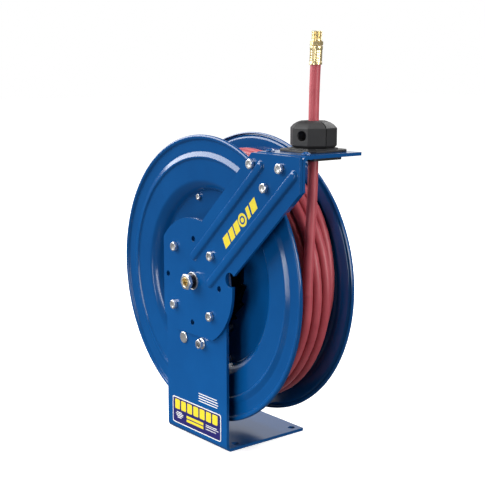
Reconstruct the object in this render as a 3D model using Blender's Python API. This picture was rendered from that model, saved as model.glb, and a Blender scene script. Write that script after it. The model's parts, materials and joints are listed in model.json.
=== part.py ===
"""Spring-rewind air hose reel on a bent-plate pedestal, every piece a separate solid.

Metres, +Z up.  X points to the side where the hose leaves the drum, Y points away from the
post.  The origin is the centre of the base plate's underside.
"""
import math

import bmesh
import bpy
from mathutils import Matrix, Vector

# ---------------------------------------------------------------- driving dimensions
GAP = 0.0003                     # clearance between pieces that touch
AXLE_Z = 0.253                   # height of the drum's axle above the floor
POST_HALF = 0.0762               # half the width of the pedestal plate
BASE_HALF_Y = 0.0775             # half the depth of the foot
PLATE = 0.0048                   # thickness of the pedestal, arm and bracket plates
BEND_R = 0.0095                  # outer radius of the plate bends
POST_FRONT = -BASE_HALF_Y
POST_BACK = POST_FRONT + PLATE
ARM_BACK = POST_FRONT - GAP
ARM_FRONT = ARM_BACK - PLATE
POST_TOP_R = 0.0945              # round top of the post, about the axle

DISC_R = 0.220                   # both drum discs
SHEET = 0.0016                   # their sheet thickness
DRUM_MID_Y = -0.009              # middle plane between the discs
FLANGE_Y = -0.058                # outer face of the front disc's flange
FLOOR_Y = -0.040                 # outer face of its dished floor
RIM_Y = -0.062                   # front of its rolled rim
SHELL_IN = 0.1506                # drum shell that carries the first layer of hose
SHELL_OUT = 0.1522
HOSE_R = 0.0073                  # outer radius of the 3/8 in hose
LAYER_TOP_R = 0.1965             # outside of the top layer of hose
LAYER_LOW_R = 0.1786             # outside of the layer below it
STEP_Y = -0.024                  # where the top layer stops, short of the front disc

HUB_R = 0.0965                   # round end of the guide arm
HUB_FLAT_Z = -0.084              # flat bottom of that end, from the axle
ARM_ANGLE = math.radians(43.5)
ARM_HALF = 0.052                 # half the width of the slanted arm
ARM_TOP_Z = 0.457
ARM_RIGHT_X = 0.239
BOLT_CIRCLE_R = 0.065            # eight holes round the axle, four of them bolted
BOLT_AF = 0.0127
BOLT_SHANK_R = 0.0038
BOLT_HOLE_R = 0.0044

HUB_FLANGE_R = 0.0745
SLEEVE_OUT = 0.023               # fixed sleeve that the drum turns on
SLEEVE_IN = 0.019
SHAFT_R = 0.012
HOSE_X = 0.185                   # the hose leaves the drum and rises here
HOSE_Y = -0.009
GUIDE_TOP_Z = 0.458              # top of the bracket's shelf
STOP_BOTTOM_Z = 0.4633           # underside of the hose stop
STOP_TOP_Z = 0.500
STOP_R = 0.0333                  # corner radius of its eight-sided body
STOP_TURN = math.radians(-11.25)
END_TIP_Z = 0.6213               # top of the threaded end fitting
END_LEAN = Vector((0.0020, 0.0024, 0.0))   # how far that tip leans out of plumb
PAWL_X = 0.016                   # pawl pivot, from the axle
PAWL_Z = -0.0955
RATCHET_TIP_R = 0.078
TIE_R = 0.127                    # circle of the drum's four tie bolts
TIE_TURN = math.radians(107.9)   # the upper left one; the others mirror it
TIE_SHANK_R = 0.0026
TIE_HOLE_R = 0.0031
TIE_AF = 0.0084
RISER_Y = 0.0105                 # outlet pipe from the shaft to the drum shell

ROUND = 44                       # sides of the discs, the drum shell and the wound hose
MIDDLE = 32                      # sides of the hub housing and the spring's cover
SMALL = 24                       # sides of the shafts and sleeves
BOLT_SIDES = 12

AXLE = Vector((0.0, 0.0, AXLE_Z))
HOSE = Vector((HOSE_X, HOSE_Y, 0.0))


# ---------------------------------------------------------------- materials and helpers
PAINTS = {
    "blue_paint": ((0.020, 0.105, 0.330), 0.28, 0.0),
    "zinc": ((0.72, 0.74, 0.76), 0.30, 1.0),
    "steel": ((0.45, 0.46, 0.48), 0.38, 1.0),
    "spring_steel": ((0.20, 0.21, 0.25), 0.42, 1.0),
    "brass": ((0.80, 0.60, 0.25), 0.25, 1.0),
    "bronze": ((0.55, 0.38, 0.20), 0.45, 1.0),
    "black_plastic": ((0.030, 0.030, 0.032), 0.50, 0.0),
    "black_rubber": ((0.020, 0.020, 0.020), 0.70, 0.0),
    "red_hose": ((0.440, 0.075, 0.095), 0.55, 0.0),
}


def clear_scene():
    for thing in list(bpy.data.objects):
        bpy.data.objects.remove(thing, do_unlink=True)


def paint(node, kind):
    """A material of its own for each node, in one of the shared finishes."""
    colour, roughness, metallic = PAINTS[kind]
    material = bpy.data.materials.new(f"{node}_{kind}")
    material.use_nodes = True
    shader = material.node_tree.nodes["Principled BSDF"]
    shader.inputs["Base Color"].default_value = (*colour, 1.0)
    shader.inputs["Roughness"].default_value = roughness
    shader.inputs["Metallic"].default_value = metallic
    return material


def finish(name, bm, kind, place=(0.0, 0.0, 0.0)):
    """Close up a bmesh as one named, smooth-shaded object."""
    bmesh.ops.remove_doubles(bm, verts=bm.verts, dist=1e-7)
    bmesh.ops.recalc_face_normals(bm, faces=bm.faces)
    mesh = bpy.data.meshes.new(name)
    bm.to_mesh(mesh)
    bm.free()
    mesh.shade_smooth()
    mesh.set_sharp_from_angle(angle=math.radians(30))
    thing = bpy.data.objects.new(name, mesh)
    thing.location = place
    bpy.context.scene.collection.objects.link(thing)
    if kind:
        mesh.materials.append(paint(name, kind))
    return thing


def spin_profile(bm, points, axis, sides, closed=True):
    """Turn a profile of (radius, height) points about an axis; +X is its starting side."""
    along = Vector(axis)
    verts = []
    for radius, height in points:
        side = Vector((0.0, 0.0, 1.0)) if along.x else Vector((1.0, 0.0, 0.0))
        verts.append(bm.verts.new(side * radius + along * height))
    edges = [bm.edges.new(pair) for pair in zip(verts, verts[1:])]
    if closed:
        edges.append(bm.edges.new((verts[-1], verts[0])))
    bmesh.ops.spin(bm, geom=verts + edges, cent=(0, 0, 0), axis=axis, dvec=(0, 0, 0),
                   angle=math.tau, steps=sides, use_merge=True, use_duplicate=False)


def turned(name, points, kind, place=AXLE, axis=(0, 1, 0), sides=ROUND, closed=True):
    bm = bmesh.new()
    spin_profile(bm, points, axis, sides, closed)
    return finish(name, bm, kind, place)


def extrude_outline(bm, outline, move):
    face = bm.faces.new([bm.verts.new(point) for point in outline])
    swept = bmesh.ops.extrude_face_region(bm, geom=[face])
    moved = [item for item in swept["geom"] if isinstance(item, bmesh.types.BMVert)]
    bmesh.ops.translate(bm, verts=moved, vec=move)


def plate(name, outline, y_front, y_back, kind, place=(0, 0, 0)):
    """A flat piece from an (x, z) outline, between two depths."""
    bm = bmesh.new()
    extrude_outline(bm, [(x, y_front, z) for x, z in outline], (0, y_back - y_front, 0))
    return finish(name, bm, kind, place)


def slab(name, outline, z_low, z_high, kind, place=(0, 0, 0)):
    """A flat piece from an (x, y) outline, between two heights."""
    bm = bmesh.new()
    extrude_outline(bm, [(x, y, z_low) for x, y in outline], (0, 0, z_high - z_low))
    return finish(name, bm, kind, place)


def loft(bm, rings, closed=False):
    """Join rings of equally many points, and cap the ends unless the rings close up."""
    loops = [[bm.verts.new(point) for point in ring] for ring in rings]
    pairs = list(zip(loops, loops[1:]))
    if closed:
        pairs.append((loops[-1], loops[0]))
    for low, high in pairs:
        for i in range(len(low)):
            j = (i + 1) % len(low)
            bm.faces.new((low[i], low[j], high[j], high[i]))
    if not closed:
        bm.faces.new(loops[0])
        bm.faces.new(loops[-1])


def arc(centre, radius, start, end, steps):
    """Points on an arc of a plane outline, both ends included."""
    points = []
    for i in range(steps + 1):
        angle = start + (end - start) * i / steps
        points.append((centre[0] + radius * math.cos(angle), centre[1] + radius * math.sin(angle)))
    return points


def round_ring(radius, y):
    """A ring of points about the Y axis, as a bolt's shank."""
    ring = []
    for i in range(BOLT_SIDES):
        angle = math.tau * i / BOLT_SIDES
        ring.append((radius * math.cos(angle), y, radius * math.sin(angle)))
    return ring


def hex_ring(across_flats, y):
    """A hexagon about the Y axis, with a point in the middle of each side."""
    ring = []
    for i in range(BOLT_SIDES):
        angle = math.tau * i / BOLT_SIDES
        reach = across_flats / 2 if i % 2 else across_flats / 2 / math.cos(math.pi / 6)
        ring.append((reach * math.cos(angle), y, reach * math.sin(angle)))
    return ring


def hex_bolt(name, x, z, seat_y, end_y, head=0.0052, across=BOLT_AF, shank_r=BOLT_SHANK_R):
    """A bolt along +Y, with its head in front of seat_y and its shank ending at end_y."""
    bm = bmesh.new()
    crown = seat_y - head
    rings = [round_ring(across * 0.43, crown), hex_ring(across, crown + 0.001)]
    rings += [hex_ring(across, seat_y), round_ring(shank_r, seat_y), round_ring(shank_r, end_y)]
    loft(bm, rings)
    return finish(name, bm, "zinc", (x, 0, z))


def hex_nut(name, x, z, y_front, y_back, across=BOLT_AF, bore=BOLT_SHANK_R + GAP):
    bm = bmesh.new()
    loft(bm, [hex_ring(across, y_front), hex_ring(across, y_back),
              round_ring(bore, y_back), round_ring(bore, y_front)], closed=True)
    return finish(name, bm, "zinc", (x, 0, z))


def cutter(bm, name):
    tool = finish(name, bm, None)
    tool.hide_render = True
    tool.display_type = "WIRE"
    return tool


def cut(thing, tool, operation="DIFFERENCE"):
    change = thing.modifiers.new(operation.title(), "BOOLEAN")
    change.operation = operation
    change.solver = "EXACT"
    change.object = tool


def drill(thing, spots, radius, low, high, axis="Y", sides=BOLT_SIDES):
    """Straight holes through a piece at world (x, z) spots, or (x, y) spots along Z."""
    bm = bmesh.new()
    turn = Matrix.Rotation(math.radians(90), 4, "X") if axis == "Y" else Matrix.Identity(4)
    middle = (low + high) / 2
    for a, b in spots:
        centre = (a, middle, b) if axis == "Y" else (a, b, middle)
        bmesh.ops.create_cone(bm, cap_ends=True, segments=sides, radius1=radius, radius2=radius,
                              depth=high - low, matrix=Matrix.Translation(centre) @ turn)
    cut(thing, cutter(bm, f"{thing.name}_holes_{len(thing.modifiers)}"))


def bolt_circle(turn, count=4, radius=BOLT_CIRCLE_R):
    """(x, z) spots on a circle about the axle."""
    spots = []
    for i in range(count):
        angle = turn + math.tau * i / count
        spots.append((radius * math.cos(angle), AXLE_Z + radius * math.sin(angle)))
    return spots


def tie_spots():
    """Four spots, mirrored left to right and top to bottom."""
    x, z = TIE_R * math.cos(TIE_TURN), TIE_R * math.sin(TIE_TURN)
    return [(side * x, AXLE_Z + level * z) for side in (1, -1) for level in (1, -1)]


BOLTED = bolt_circle(math.radians(43.5))
SPARE = bolt_circle(math.radians(-1.5))
PAWL_SPOT = (PAWL_X, AXLE_Z + PAWL_Z)
PIN_SPOT = (-0.030, AXLE_Z - 0.095)
BRACKET_SPOTS = [(0.139, 0.441), (0.2004, 0.439), (0.1684, 0.410)]


# ---------------------------------------------------------------- pedestal, arm and bracket
def pedestal():
    """One plate bent into a foot and a post, with a round top about the axle."""
    top = AXLE_Z + POST_TOP_R
    inner = BEND_R - PLATE
    bend = (POST_FRONT + BEND_R, BEND_R)
    section = [(BASE_HALF_Y, 0.0)]
    section += arc(bend, BEND_R, math.radians(270), math.radians(180), 6)
    section += [(POST_FRONT, top), (POST_BACK, top)]
    section += arc(bend, inner, math.radians(180), math.radians(270), 6)
    section += [(BASE_HALF_Y, PLATE)]
    bm = bmesh.new()
    extrude_outline(bm, [(-POST_HALF, y, z) for y, z in section], (2 * POST_HALF, 0, 0))
    body = finish("pedestal", bm, "blue_paint")
    shoulder = math.acos(POST_HALF / POST_TOP_R)
    outline = [(POST_HALF + 0.01, -0.01), (POST_HALF + 0.01, AXLE_Z)]
    outline += arc((0, AXLE_Z), POST_TOP_R, shoulder, math.pi - shoulder, 20)
    outline += [(-POST_HALF - 0.01, AXLE_Z), (-POST_HALF - 0.01, -0.01)]
    bm = bmesh.new()
    extrude_outline(bm, [(x, -0.09, z) for x, z in outline], (0, 0.18, 0))
    cut(body, cutter(bm, "post_outline"), "INTERSECT")
    drill(body, BOLTED + SPARE + [PAWL_SPOT, PIN_SPOT], BOLT_HOLE_R, POST_FRONT - 0.005,
          POST_BACK + 0.005)
    drill(body, [(0.0, AXLE_Z)], 0.0195, POST_FRONT - 0.005, POST_BACK + 0.005, sides=SMALL)
    foot_holes = [(x, y) for x in (-0.063, 0.063) for y in (-0.050, 0.064)]
    drill(body, foot_holes, 0.0055, -0.005, 0.015, axis="Z")


def on_arm(along, across):
    """World (x, z) of a point given along and across the slanted arm, from the axle."""
    x = along * math.cos(ARM_ANGLE) - across * math.sin(ARM_ANGLE)
    z = along * math.sin(ARM_ANGLE) + across * math.cos(ARM_ANGLE)
    return (x, AXLE_Z + z)


def arm_outline():
    reach = math.sqrt(HUB_R ** 2 - ARM_HALF ** 2)
    spread = math.atan2(ARM_HALF, reach)
    left = math.acos(-POST_HALF / HUB_R)
    low = math.asin(HUB_FLAT_Z / HUB_R)
    top_along = (ARM_TOP_Z - AXLE_Z - ARM_HALF * math.cos(ARM_ANGLE)) / math.sin(ARM_ANGLE)
    right_along = (ARM_RIGHT_X - ARM_HALF * math.sin(ARM_ANGLE)) / math.cos(ARM_ANGLE)
    centre = (0.0, AXLE_Z)
    outline = arc(centre, HUB_R, ARM_ANGLE + spread, left, 10)
    outline += arc(centre, HUB_R, math.tau - left, math.pi - low, 3)
    outline += arc(centre, HUB_R, low, ARM_ANGLE - spread, 14)
    outline += [on_arm(right_along, -ARM_HALF), (ARM_RIGHT_X, ARM_TOP_Z)]
    outline += [on_arm(top_along, ARM_HALF)]
    return outline


def rib_cutter(start, end, across):
    """A pressed rib: a long round-ended pad that stands out of the arm's front face."""
    rings = []
    for half, y in ((0.0075, ARM_FRONT + 0.001), (0.0075, ARM_FRONT), (0.0040, ARM_FRONT - 0.0026)):
        ring = []
        for along, turn in ((end, -90), (start, 90)):
            for i in range(7):
                angle = math.radians(turn + 30 * i)
                a = along + half * math.cos(angle)
                b = across + half * math.sin(angle)
                x, z = on_arm(a, b)
                ring.append((x, y, z))
        rings.append(ring)
    bm = bmesh.new()
    loft(bm, rings)
    return bm


def guide_arm():
    """Flat arm bolted to the post, round about the axle, slanting up to the hose guide."""
    arm = plate("guide_arm", arm_outline(), ARM_FRONT, ARM_BACK, "blue_paint")
    cut(arm, cutter(rib_cutter(0.030, 0.243, 0.026), "upper_rib"), "UNION")
    cut(arm, cutter(rib_cutter(0.034, 0.287, -0.027), "lower_rib"), "UNION")
    low, high = ARM_FRONT - 0.006, ARM_BACK + 0.004
    drill(arm, BOLTED + SPARE + BRACKET_SPOTS, BOLT_HOLE_R, low, high)
    drill(arm, [(0.0, AXLE_Z)], 0.0127, low, high, sides=SMALL)
    drill(arm, [(0.091, AXLE_Z + 0.016)], 0.0108, low, high, sides=SMALL)


def guide_bracket():
    """Bent bracket behind the arm's end: a leg down the arm and a shelf for the hose guide."""
    left = on_arm((ARM_TOP_Z - AXLE_Z - ARM_HALF * math.cos(ARM_ANGLE)) / math.sin(ARM_ANGLE),
                  ARM_HALF)[0]
    inner = BEND_R - PLATE
    bend = (POST_FRONT + BEND_R, GUIDE_TOP_Z - BEND_R)
    low_z = 0.380
    shelf_y = 0.031
    section = [(shelf_y, GUIDE_TOP_Z)]
    section += arc(bend, BEND_R, math.radians(90), math.radians(180), 6)
    section += [(POST_FRONT, low_z), (POST_BACK, low_z)]
    section += arc(bend, inner, math.radians(180), math.radians(90), 6)
    section += [(shelf_y, GUIDE_TOP_Z - PLATE)]
    bm = bmesh.new()
    extrude_outline(bm, [(0.115, y, z) for y, z in section], (ARM_RIGHT_X - 0.115, 0, 0))
    bracket = finish("guide_bracket", bm, "blue_paint")
    trim = 0.0012
    start = on_arm(0.206, ARM_HALF - trim)
    end = on_arm(0.206, -ARM_HALF + trim)
    right = on_arm((ARM_RIGHT_X - (ARM_HALF - trim) * math.sin(ARM_ANGLE)) / math.cos(ARM_ANGLE),
                   -ARM_HALF + trim)
    outline = [start, end, right, (ARM_RIGHT_X + 0.01, right[1]), (ARM_RIGHT_X + 0.01, 0.47)]
    outline += [(left, 0.47), (left, 0.4575)]
    bm = bmesh.new()
    extrude_outline(bm, [(x, -0.09, z) for x, z in outline], (0, 0.02, 0))
    tool_leg = bm
    shelf = [(left, 0.44), (ARM_RIGHT_X + 0.01, 0.44), (ARM_RIGHT_X + 0.01, 0.47), (left, 0.47)]
    tool_shelf = bmesh.new()
    extrude_outline(tool_shelf, [(x, -0.0705, z) for x, z in shelf], (0, 0.11, 0))
    leg = cutter(tool_leg, "bracket_leg_outline")
    cut(leg, cutter(tool_shelf, "bracket_shelf_outline"), "UNION")
    cut(bracket, leg, "INTERSECT")
    drill(bracket, BRACKET_SPOTS, BOLT_HOLE_R, POST_FRONT - 0.004, POST_BACK + 0.004)
    drill(bracket, [(HOSE_X, HOSE_Y)], 0.0150, 0.440, 0.470, axis="Z", sides=SMALL)
    drill(bracket, GUIDE_BOLT_SPOTS, 0.0036, 0.440, 0.470, axis="Z")


def frame_fasteners():
    for i, (x, z) in enumerate(BOLTED, 1):
        hex_bolt(f"arm_bolt_{i}", x, z, ARM_FRONT - GAP, -0.0600)
        hex_nut(f"arm_nut_{i}", x, z, -0.0661, -0.0606)
    for i, (x, z) in enumerate(BRACKET_SPOTS, 1):
        hex_bolt(f"bracket_bolt_{i}", x, z, ARM_FRONT - GAP, -0.0662)
        hex_nut(f"bracket_nut_{i}", x, z, POST_BACK + GAP, POST_BACK + 0.0058)


# ---------------------------------------------------------------- hose guide
GUIDE_BOLT_SPOTS = [(0.153, -0.060), (0.226, -0.060)]


def chamfered_square(half, corner):
    points = []
    for sx, sy in ((1, 1), (-1, 1), (-1, -1), (1, -1)):
        ends = [(sx * half, sy * (half - corner)), (sx * (half - corner), sy * half)]
        points += ends if sx == sy else ends[::-1]
    return points


def hose_guide():
    """Two plastic plates clamped on the shelf, with the hose running through both."""
    seat = GUIDE_TOP_Z + GAP
    upper = slab("guide_plate_upper", chamfered_square(0.037, 0.009), seat, seat + 0.0028,
                 "black_plastic", HOSE)
    bm = bmesh.new()
    collar = [(x, y, seat + 0.001) for x, y in chamfered_square(0.028, 0.008)]
    extrude_outline(bm, collar, (0, 0, STOP_BOTTOM_Z - GAP - seat - 0.001))
    bmesh.ops.translate(bm, verts=bm.verts, vec=HOSE)
    cut(upper, cutter(bm, "guide_collar"), "UNION")
    drill(upper, [(HOSE_X, HOSE_Y)], 0.0098, 0.440, 0.480, axis="Z", sides=SMALL)
    under = GUIDE_TOP_Z - PLATE - GAP
    lower = slab("guide_plate_lower", chamfered_square(0.030, 0.005), under - 0.006, under,
                 "black_plastic", HOSE)
    drill(lower, [(HOSE_X, HOSE_Y)], 0.0098, 0.440, 0.480, axis="Z", sides=SMALL)
    for i, (x, y) in enumerate(GUIDE_BOLT_SPOTS, 1):
        dome = [(0.0, seat + 0.0042), (0.0035, seat + 0.0034), (0.0062, seat + 0.0014),
                (0.0066, seat), (0.0031, seat), (0.0031, under - 0.001), (0.0, under - 0.001)]
        turned(f"guide_bolt_{i}", dome, "blue_paint", (x, y, 0), (0, 0, 1), BOLT_SIDES, False)


# ---------------------------------------------------------------- hub, bearings and drum
def hub():
    """Housing bolted behind the post: a flange and the fixed sleeve that the drum turns on."""
    flange_front = POST_BACK + GAP
    profile = [(SLEEVE_IN, flange_front), (HUB_FLANGE_R, flange_front), (HUB_FLANGE_R, -0.0664)]
    profile += [(SLEEVE_OUT, -0.0664), (SLEEVE_OUT, 0.003), (SLEEVE_IN, 0.003)]
    housing = turned("hub_housing", profile, "steel", sides=MIDDLE)
    drill(housing, BOLTED, BOLT_HOLE_R, -0.080, -0.060)
    for name, front in (("front_bearing", -0.070), ("rear_bearing", -0.008)):
        ring = [(SHAFT_R + 0.0004, front), (SLEEVE_IN - GAP, front),
                (SLEEVE_IN - GAP, front + 0.010), (SHAFT_R + 0.0004, front + 0.010)]
        turned(name, ring, "bronze", sides=SMALL)


def disc_profile():
    """Section of the front disc: flat floor, dished wall, flat flange, rolled rim."""
    front = [(0.0265, FLOOR_Y), (0.1352, FLOOR_Y), (0.1388, FLOOR_Y - 0.002)]
    front += [(0.1460, FLANGE_Y + 0.003), (0.1500, FLANGE_Y - 0.0008), (0.1550, FLANGE_Y)]
    front += [(0.2110, FLANGE_Y), (0.2138, RIM_Y + 0.0012), (0.2170, RIM_Y)]
    front += [(DISC_R, RIM_Y + 0.0024)]
    back = [(0.2185, RIM_Y + 0.0062), (0.2125, FLANGE_Y + SHEET), (0.1500, FLANGE_Y + SHEET)]
    back += [(0.1474, FLANGE_Y + 0.0042), (0.1401, FLOOR_Y - 0.0006), (0.1358, FLOOR_Y + SHEET)]
    back += [(0.0265, FLOOR_Y + SHEET)]
    return front + back


def discs():
    front = turned("front_disc", disc_profile(), "blue_paint")
    rear_points = [(r, 2 * DRUM_MID_Y - y) for r, y in disc_profile()]
    rear_points[0] = (SHAFT_R + GAP, rear_points[0][1])
    rear_points[-1] = (SHAFT_R + GAP, rear_points[-1][1])
    rear = turned("rear_disc", rear_points, "blue_paint")
    drill(front, tie_spots(), TIE_HOLE_R, FLOOR_Y - 0.004, FLOOR_Y + 0.006)
    floor_rear = 2 * DRUM_MID_Y - FLOOR_Y
    drill(rear, tie_spots(), TIE_HOLE_R, floor_rear - 0.006, floor_rear + 0.004)
    for i, (x, z) in enumerate(tie_spots(), 1):
        hex_bolt(f"tie_bolt_{i}", x, z, FLOOR_Y - GAP, floor_rear + 0.0060, 0.0036, TIE_AF,
                 TIE_SHANK_R)
        hex_nut(f"tie_nut_{i}", x, z, floor_rear + GAP, floor_rear + 0.0043, TIE_AF,
                TIE_SHANK_R + GAP)


def drum_core():
    """Shell that the hose winds on, and the plate that closes the spring's chamber."""
    flange_in = FLANGE_Y + SHEET + GAP
    flange_out = 2 * DRUM_MID_Y - flange_in
    shell = turned("drum_shell", [(SHELL_IN, flange_in), (SHELL_OUT, flange_in),
                                  (SHELL_OUT, flange_out), (SHELL_IN, flange_out)], "blue_paint")
    bm = bmesh.new()
    spin_profile(bm, [(0.0, 0.14), (0.0070, 0.14), (0.0070, 0.16), (0.0, 0.16)], (1, 0, 0),
                 BOLT_SIDES, False)
    bmesh.ops.translate(bm, verts=bm.verts, vec=(0, RISER_Y, AXLE_Z))
    cut(shell, cutter(bm, "riser_hole"))
    cover = turned("spring_cover", [(0.0245, 0.0), (0.1490, 0.0), (0.1490, SHEET),
                                    (0.0245, SHEET)], "blue_paint", sides=MIDDLE)
    drill(cover, tie_spots(), TIE_HOLE_R, -0.004, 0.006)


def mainspring():
    """Flat spiral spring: its inner end on the sleeve, its outer end at a tie bolt."""
    turns, steps, thick = 5, 20, 0.0011
    y_front, y_back = -0.036, -0.002
    inner, coiled, hook = 0.0237, 0.100, 0.1220
    total = turns * steps
    last = 3
    rings = []
    for i in range(total + last + 1):
        radius = inner + (coiled - inner) * min(i, total) / total
        if i > total:
            radius += (hook - coiled) * (i - total) / last
        angle = TIE_TURN + math.tau * (i - total - last) / steps
        ring = []
        for r, y in ((radius, y_front), (radius + thick, y_front), (radius + thick, y_back),
                     (radius, y_back)):
            ring.append((r * math.cos(angle), y, r * math.sin(angle)))
        rings.append(ring)
    bm = bmesh.new()
    loft(bm, rings)
    finish("mainspring", bm, "spring_steel", AXLE)


def shaft():
    """Hollow shaft: takes the swivel at its front, feeds the riser pipe, holds the rear disc."""
    front, end = -0.0842, 0.0345
    floor_in = 2 * DRUM_MID_Y - FLOOR_Y - SHEET - GAP
    profile = [(0.0, 0.0155), (0.0055, 0.0155), (0.0055, -0.057), (0.0094, -0.057)]
    profile += [(0.0094, front), (SHAFT_R, front), (SHAFT_R, floor_in - 0.0026)]
    profile += [(0.020, floor_in - 0.0026), (0.020, floor_in), (SHAFT_R, floor_in)]
    profile += [(SHAFT_R, end), (0.0, end)]
    bar = turned("shaft", profile, "steel", sides=SMALL, closed=False)
    bm = bmesh.new()
    spin_profile(bm, [(0.0, 0.002), (0.0042, 0.002), (0.0042, 0.014), (0.0, 0.014)], (1, 0, 0),
                 BOLT_SIDES, False)
    bmesh.ops.translate(bm, verts=bm.verts, vec=(0, RISER_Y, AXLE_Z))
    cut(bar, cutter(bm, "riser_port"))
    turned("shaft_collar", [(SHAFT_R + GAP, -0.0843), (0.0136, -0.0843), (0.0136, -0.0829),
                            (SHAFT_R + GAP, -0.0829)], "zinc", sides=SMALL)
    back = 2 * DRUM_MID_Y - FLOOR_Y
    turned("shaft_washer", [(SHAFT_R + GAP, back + GAP), (0.022, back + GAP),
                            (0.022, back + 0.0023), (SHAFT_R + GAP, back + 0.0023)], "zinc",
           sides=SMALL)
    hex_nut("shaft_nut", 0.0, AXLE_Z, back + 0.0026, back + 0.0110, across=0.036,
            bore=(SHAFT_R + GAP) / math.cos(math.pi / BOLT_SIDES))
    turned("riser_pipe", [(0.0042, 0.0124), (0.0065, 0.0124), (0.0065, 0.1519),
                          (0.0042, 0.1519)], "steel", (0, RISER_Y, AXLE_Z), (1, 0, 0), BOLT_SIDES)


def wound_hose():
    """Outer shape of the wound hose: two full layers, and a top one short of the front disc."""
    low = FLANGE_Y + SHEET + 2 * GAP
    high = 2 * DRUM_MID_Y - low
    inner = SHELL_OUT + GAP
    turned("wound_hose", [(inner, low), (LAYER_LOW_R, low), (LAYER_LOW_R, STEP_Y),
                          (LAYER_TOP_R, STEP_Y), (LAYER_TOP_R, high), (inner, high)], "red_hose")


# ---------------------------------------------------------------- ratchet latch
def ratchet_wheel():
    """Saw-toothed plate on the front disc's floor."""
    teeth, root = 16, 0.070
    outline = []
    for i in range(teeth):
        angle = math.tau * i / teeth
        outline.append((RATCHET_TIP_R * math.cos(angle), RATCHET_TIP_R * math.sin(angle)))
        outline.append((root * math.cos(angle + 0.02), root * math.sin(angle + 0.02)))
    wheel = plate("ratchet_wheel", outline, -0.0465, FLOOR_Y - GAP, "steel", AXLE)
    drill(wheel, [(0.0, AXLE_Z)], 0.0265, -0.050, -0.036, sides=SMALL)


def latch():
    """Pawl on a shouldered bolt through the post, with its spring and the spring's pin."""
    x, z = PAWL_SPOT
    boss = 0.0095
    outline = arc((0, 0), boss, math.radians(150), math.radians(310), 8)
    outline += [(0.0330, 0.0260), (0.0315, 0.0310), (0.0220, 0.0250)]
    pawl = plate("latch_pawl", outline, -0.0470, -0.0423, "steel", (x, 0, z))
    drill(pawl, [PAWL_SPOT], 0.0043, -0.050, -0.040)
    bm = bmesh.new()
    rings = [round_ring(0.0040, -0.0866), round_ring(0.0040, POST_BACK + GAP)]
    rings += [round_ring(0.0080, POST_BACK + GAP), round_ring(0.0080, -0.0675)]
    rings += [round_ring(0.0040, -0.0675), round_ring(0.0040, -0.0420)]
    rings += [round_ring(0.0065, -0.0420), round_ring(0.0065, -0.0406)]
    loft(bm, rings)
    finish("latch_bolt", bm, "steel", (x, 0, z))
    bm = bmesh.new()
    seat = POST_FRONT - GAP
    bore = 0.0040 + GAP
    loft(bm, [hex_ring(0.0130, seat - 0.0080), hex_ring(0.0130, seat - 0.0018),
              round_ring(0.0086, seat - 0.0018), round_ring(0.0086, seat),
              round_ring(bore, seat), round_ring(bore, seat - 0.0080)], closed=True)
    finish("latch_nut", bm, "zinc", (x, 0, z))
    pin_x, pin_z = PIN_SPOT
    bm = bmesh.new()
    loft(bm, [round_ring(0.0080, seat - 0.0022), round_ring(0.0092, seat - 0.0016),
              round_ring(0.0092, seat), round_ring(0.0040, seat), round_ring(0.0040, -0.0600)])
    finish("latch_pin", bm, "zinc", (pin_x, 0, pin_z))
    latch_spring(x, z)


def latch_spring(x, z):
    """Small torsion spring round the pawl's bolt."""
    wire, coil, turns, steps = 0.0006, 0.0057, 4, 8
    y_front, y_back = -0.0660, -0.0482
    count = turns * steps
    path = bpy.data.curves.new("latch_spring", "CURVE")
    path.dimensions = "3D"
    path.bevel_depth = wire
    path.bevel_resolution = 1
    path.use_fill_caps = True
    line = path.splines.new("POLY")
    line.points.add(count)
    for i in range(count + 1):
        angle = math.tau * i / steps
        y = y_front + (y_back - y_front) * i / count
        line.points[i].co = (coil * math.cos(angle), y, coil * math.sin(angle), 1.0)
    spring = bpy.data.objects.new("latch_spring", path)
    spring.location = (x, 0, z)
    path.materials.append(paint("latch_spring", "spring_steel"))
    bpy.context.scene.collection.objects.link(spring)


# ---------------------------------------------------------------- air inlet swivel
def swivel():
    """Hex inlet that turns in the shaft's end, with a brass port and an O-ring."""
    face, shoulder, groove, stem = -0.0972, -0.0912, -0.0680, -0.0600
    neck = -0.0846
    bm = bmesh.new()
    rings = [round_ring(0.0075, face), round_ring(0.0098, face), hex_ring(0.0222, face + 0.0010)]
    rings += [hex_ring(0.0222, shoulder), round_ring(0.0104, shoulder), round_ring(0.0104, neck)]
    rings += [round_ring(0.0088, neck), round_ring(0.0088, groove)]
    rings += [round_ring(0.0070, groove), round_ring(0.0070, groove + 0.003)]
    rings += [round_ring(0.0088, groove + 0.003), round_ring(0.0088, stem)]
    rings += [round_ring(0.0045, stem), round_ring(0.0045, -0.0830), round_ring(0.0075, -0.0830)]
    loft(bm, rings, closed=True)
    finish("swivel_body", bm, "zinc", AXLE)
    turned("swivel_insert", [(0.0045, face - 0.0004), (0.0071, face - 0.0004),
                             (0.0071, -0.0833), (0.0045, -0.0833)], "brass", sides=BOLT_SIDES)
    turned("swivel_seal", [(0.0073, groove + 0.0003), (0.0090, groove + 0.0003),
                           (0.0090, groove + 0.0027), (0.0073, groove + 0.0027)],
           "black_rubber", sides=SMALL)


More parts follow.
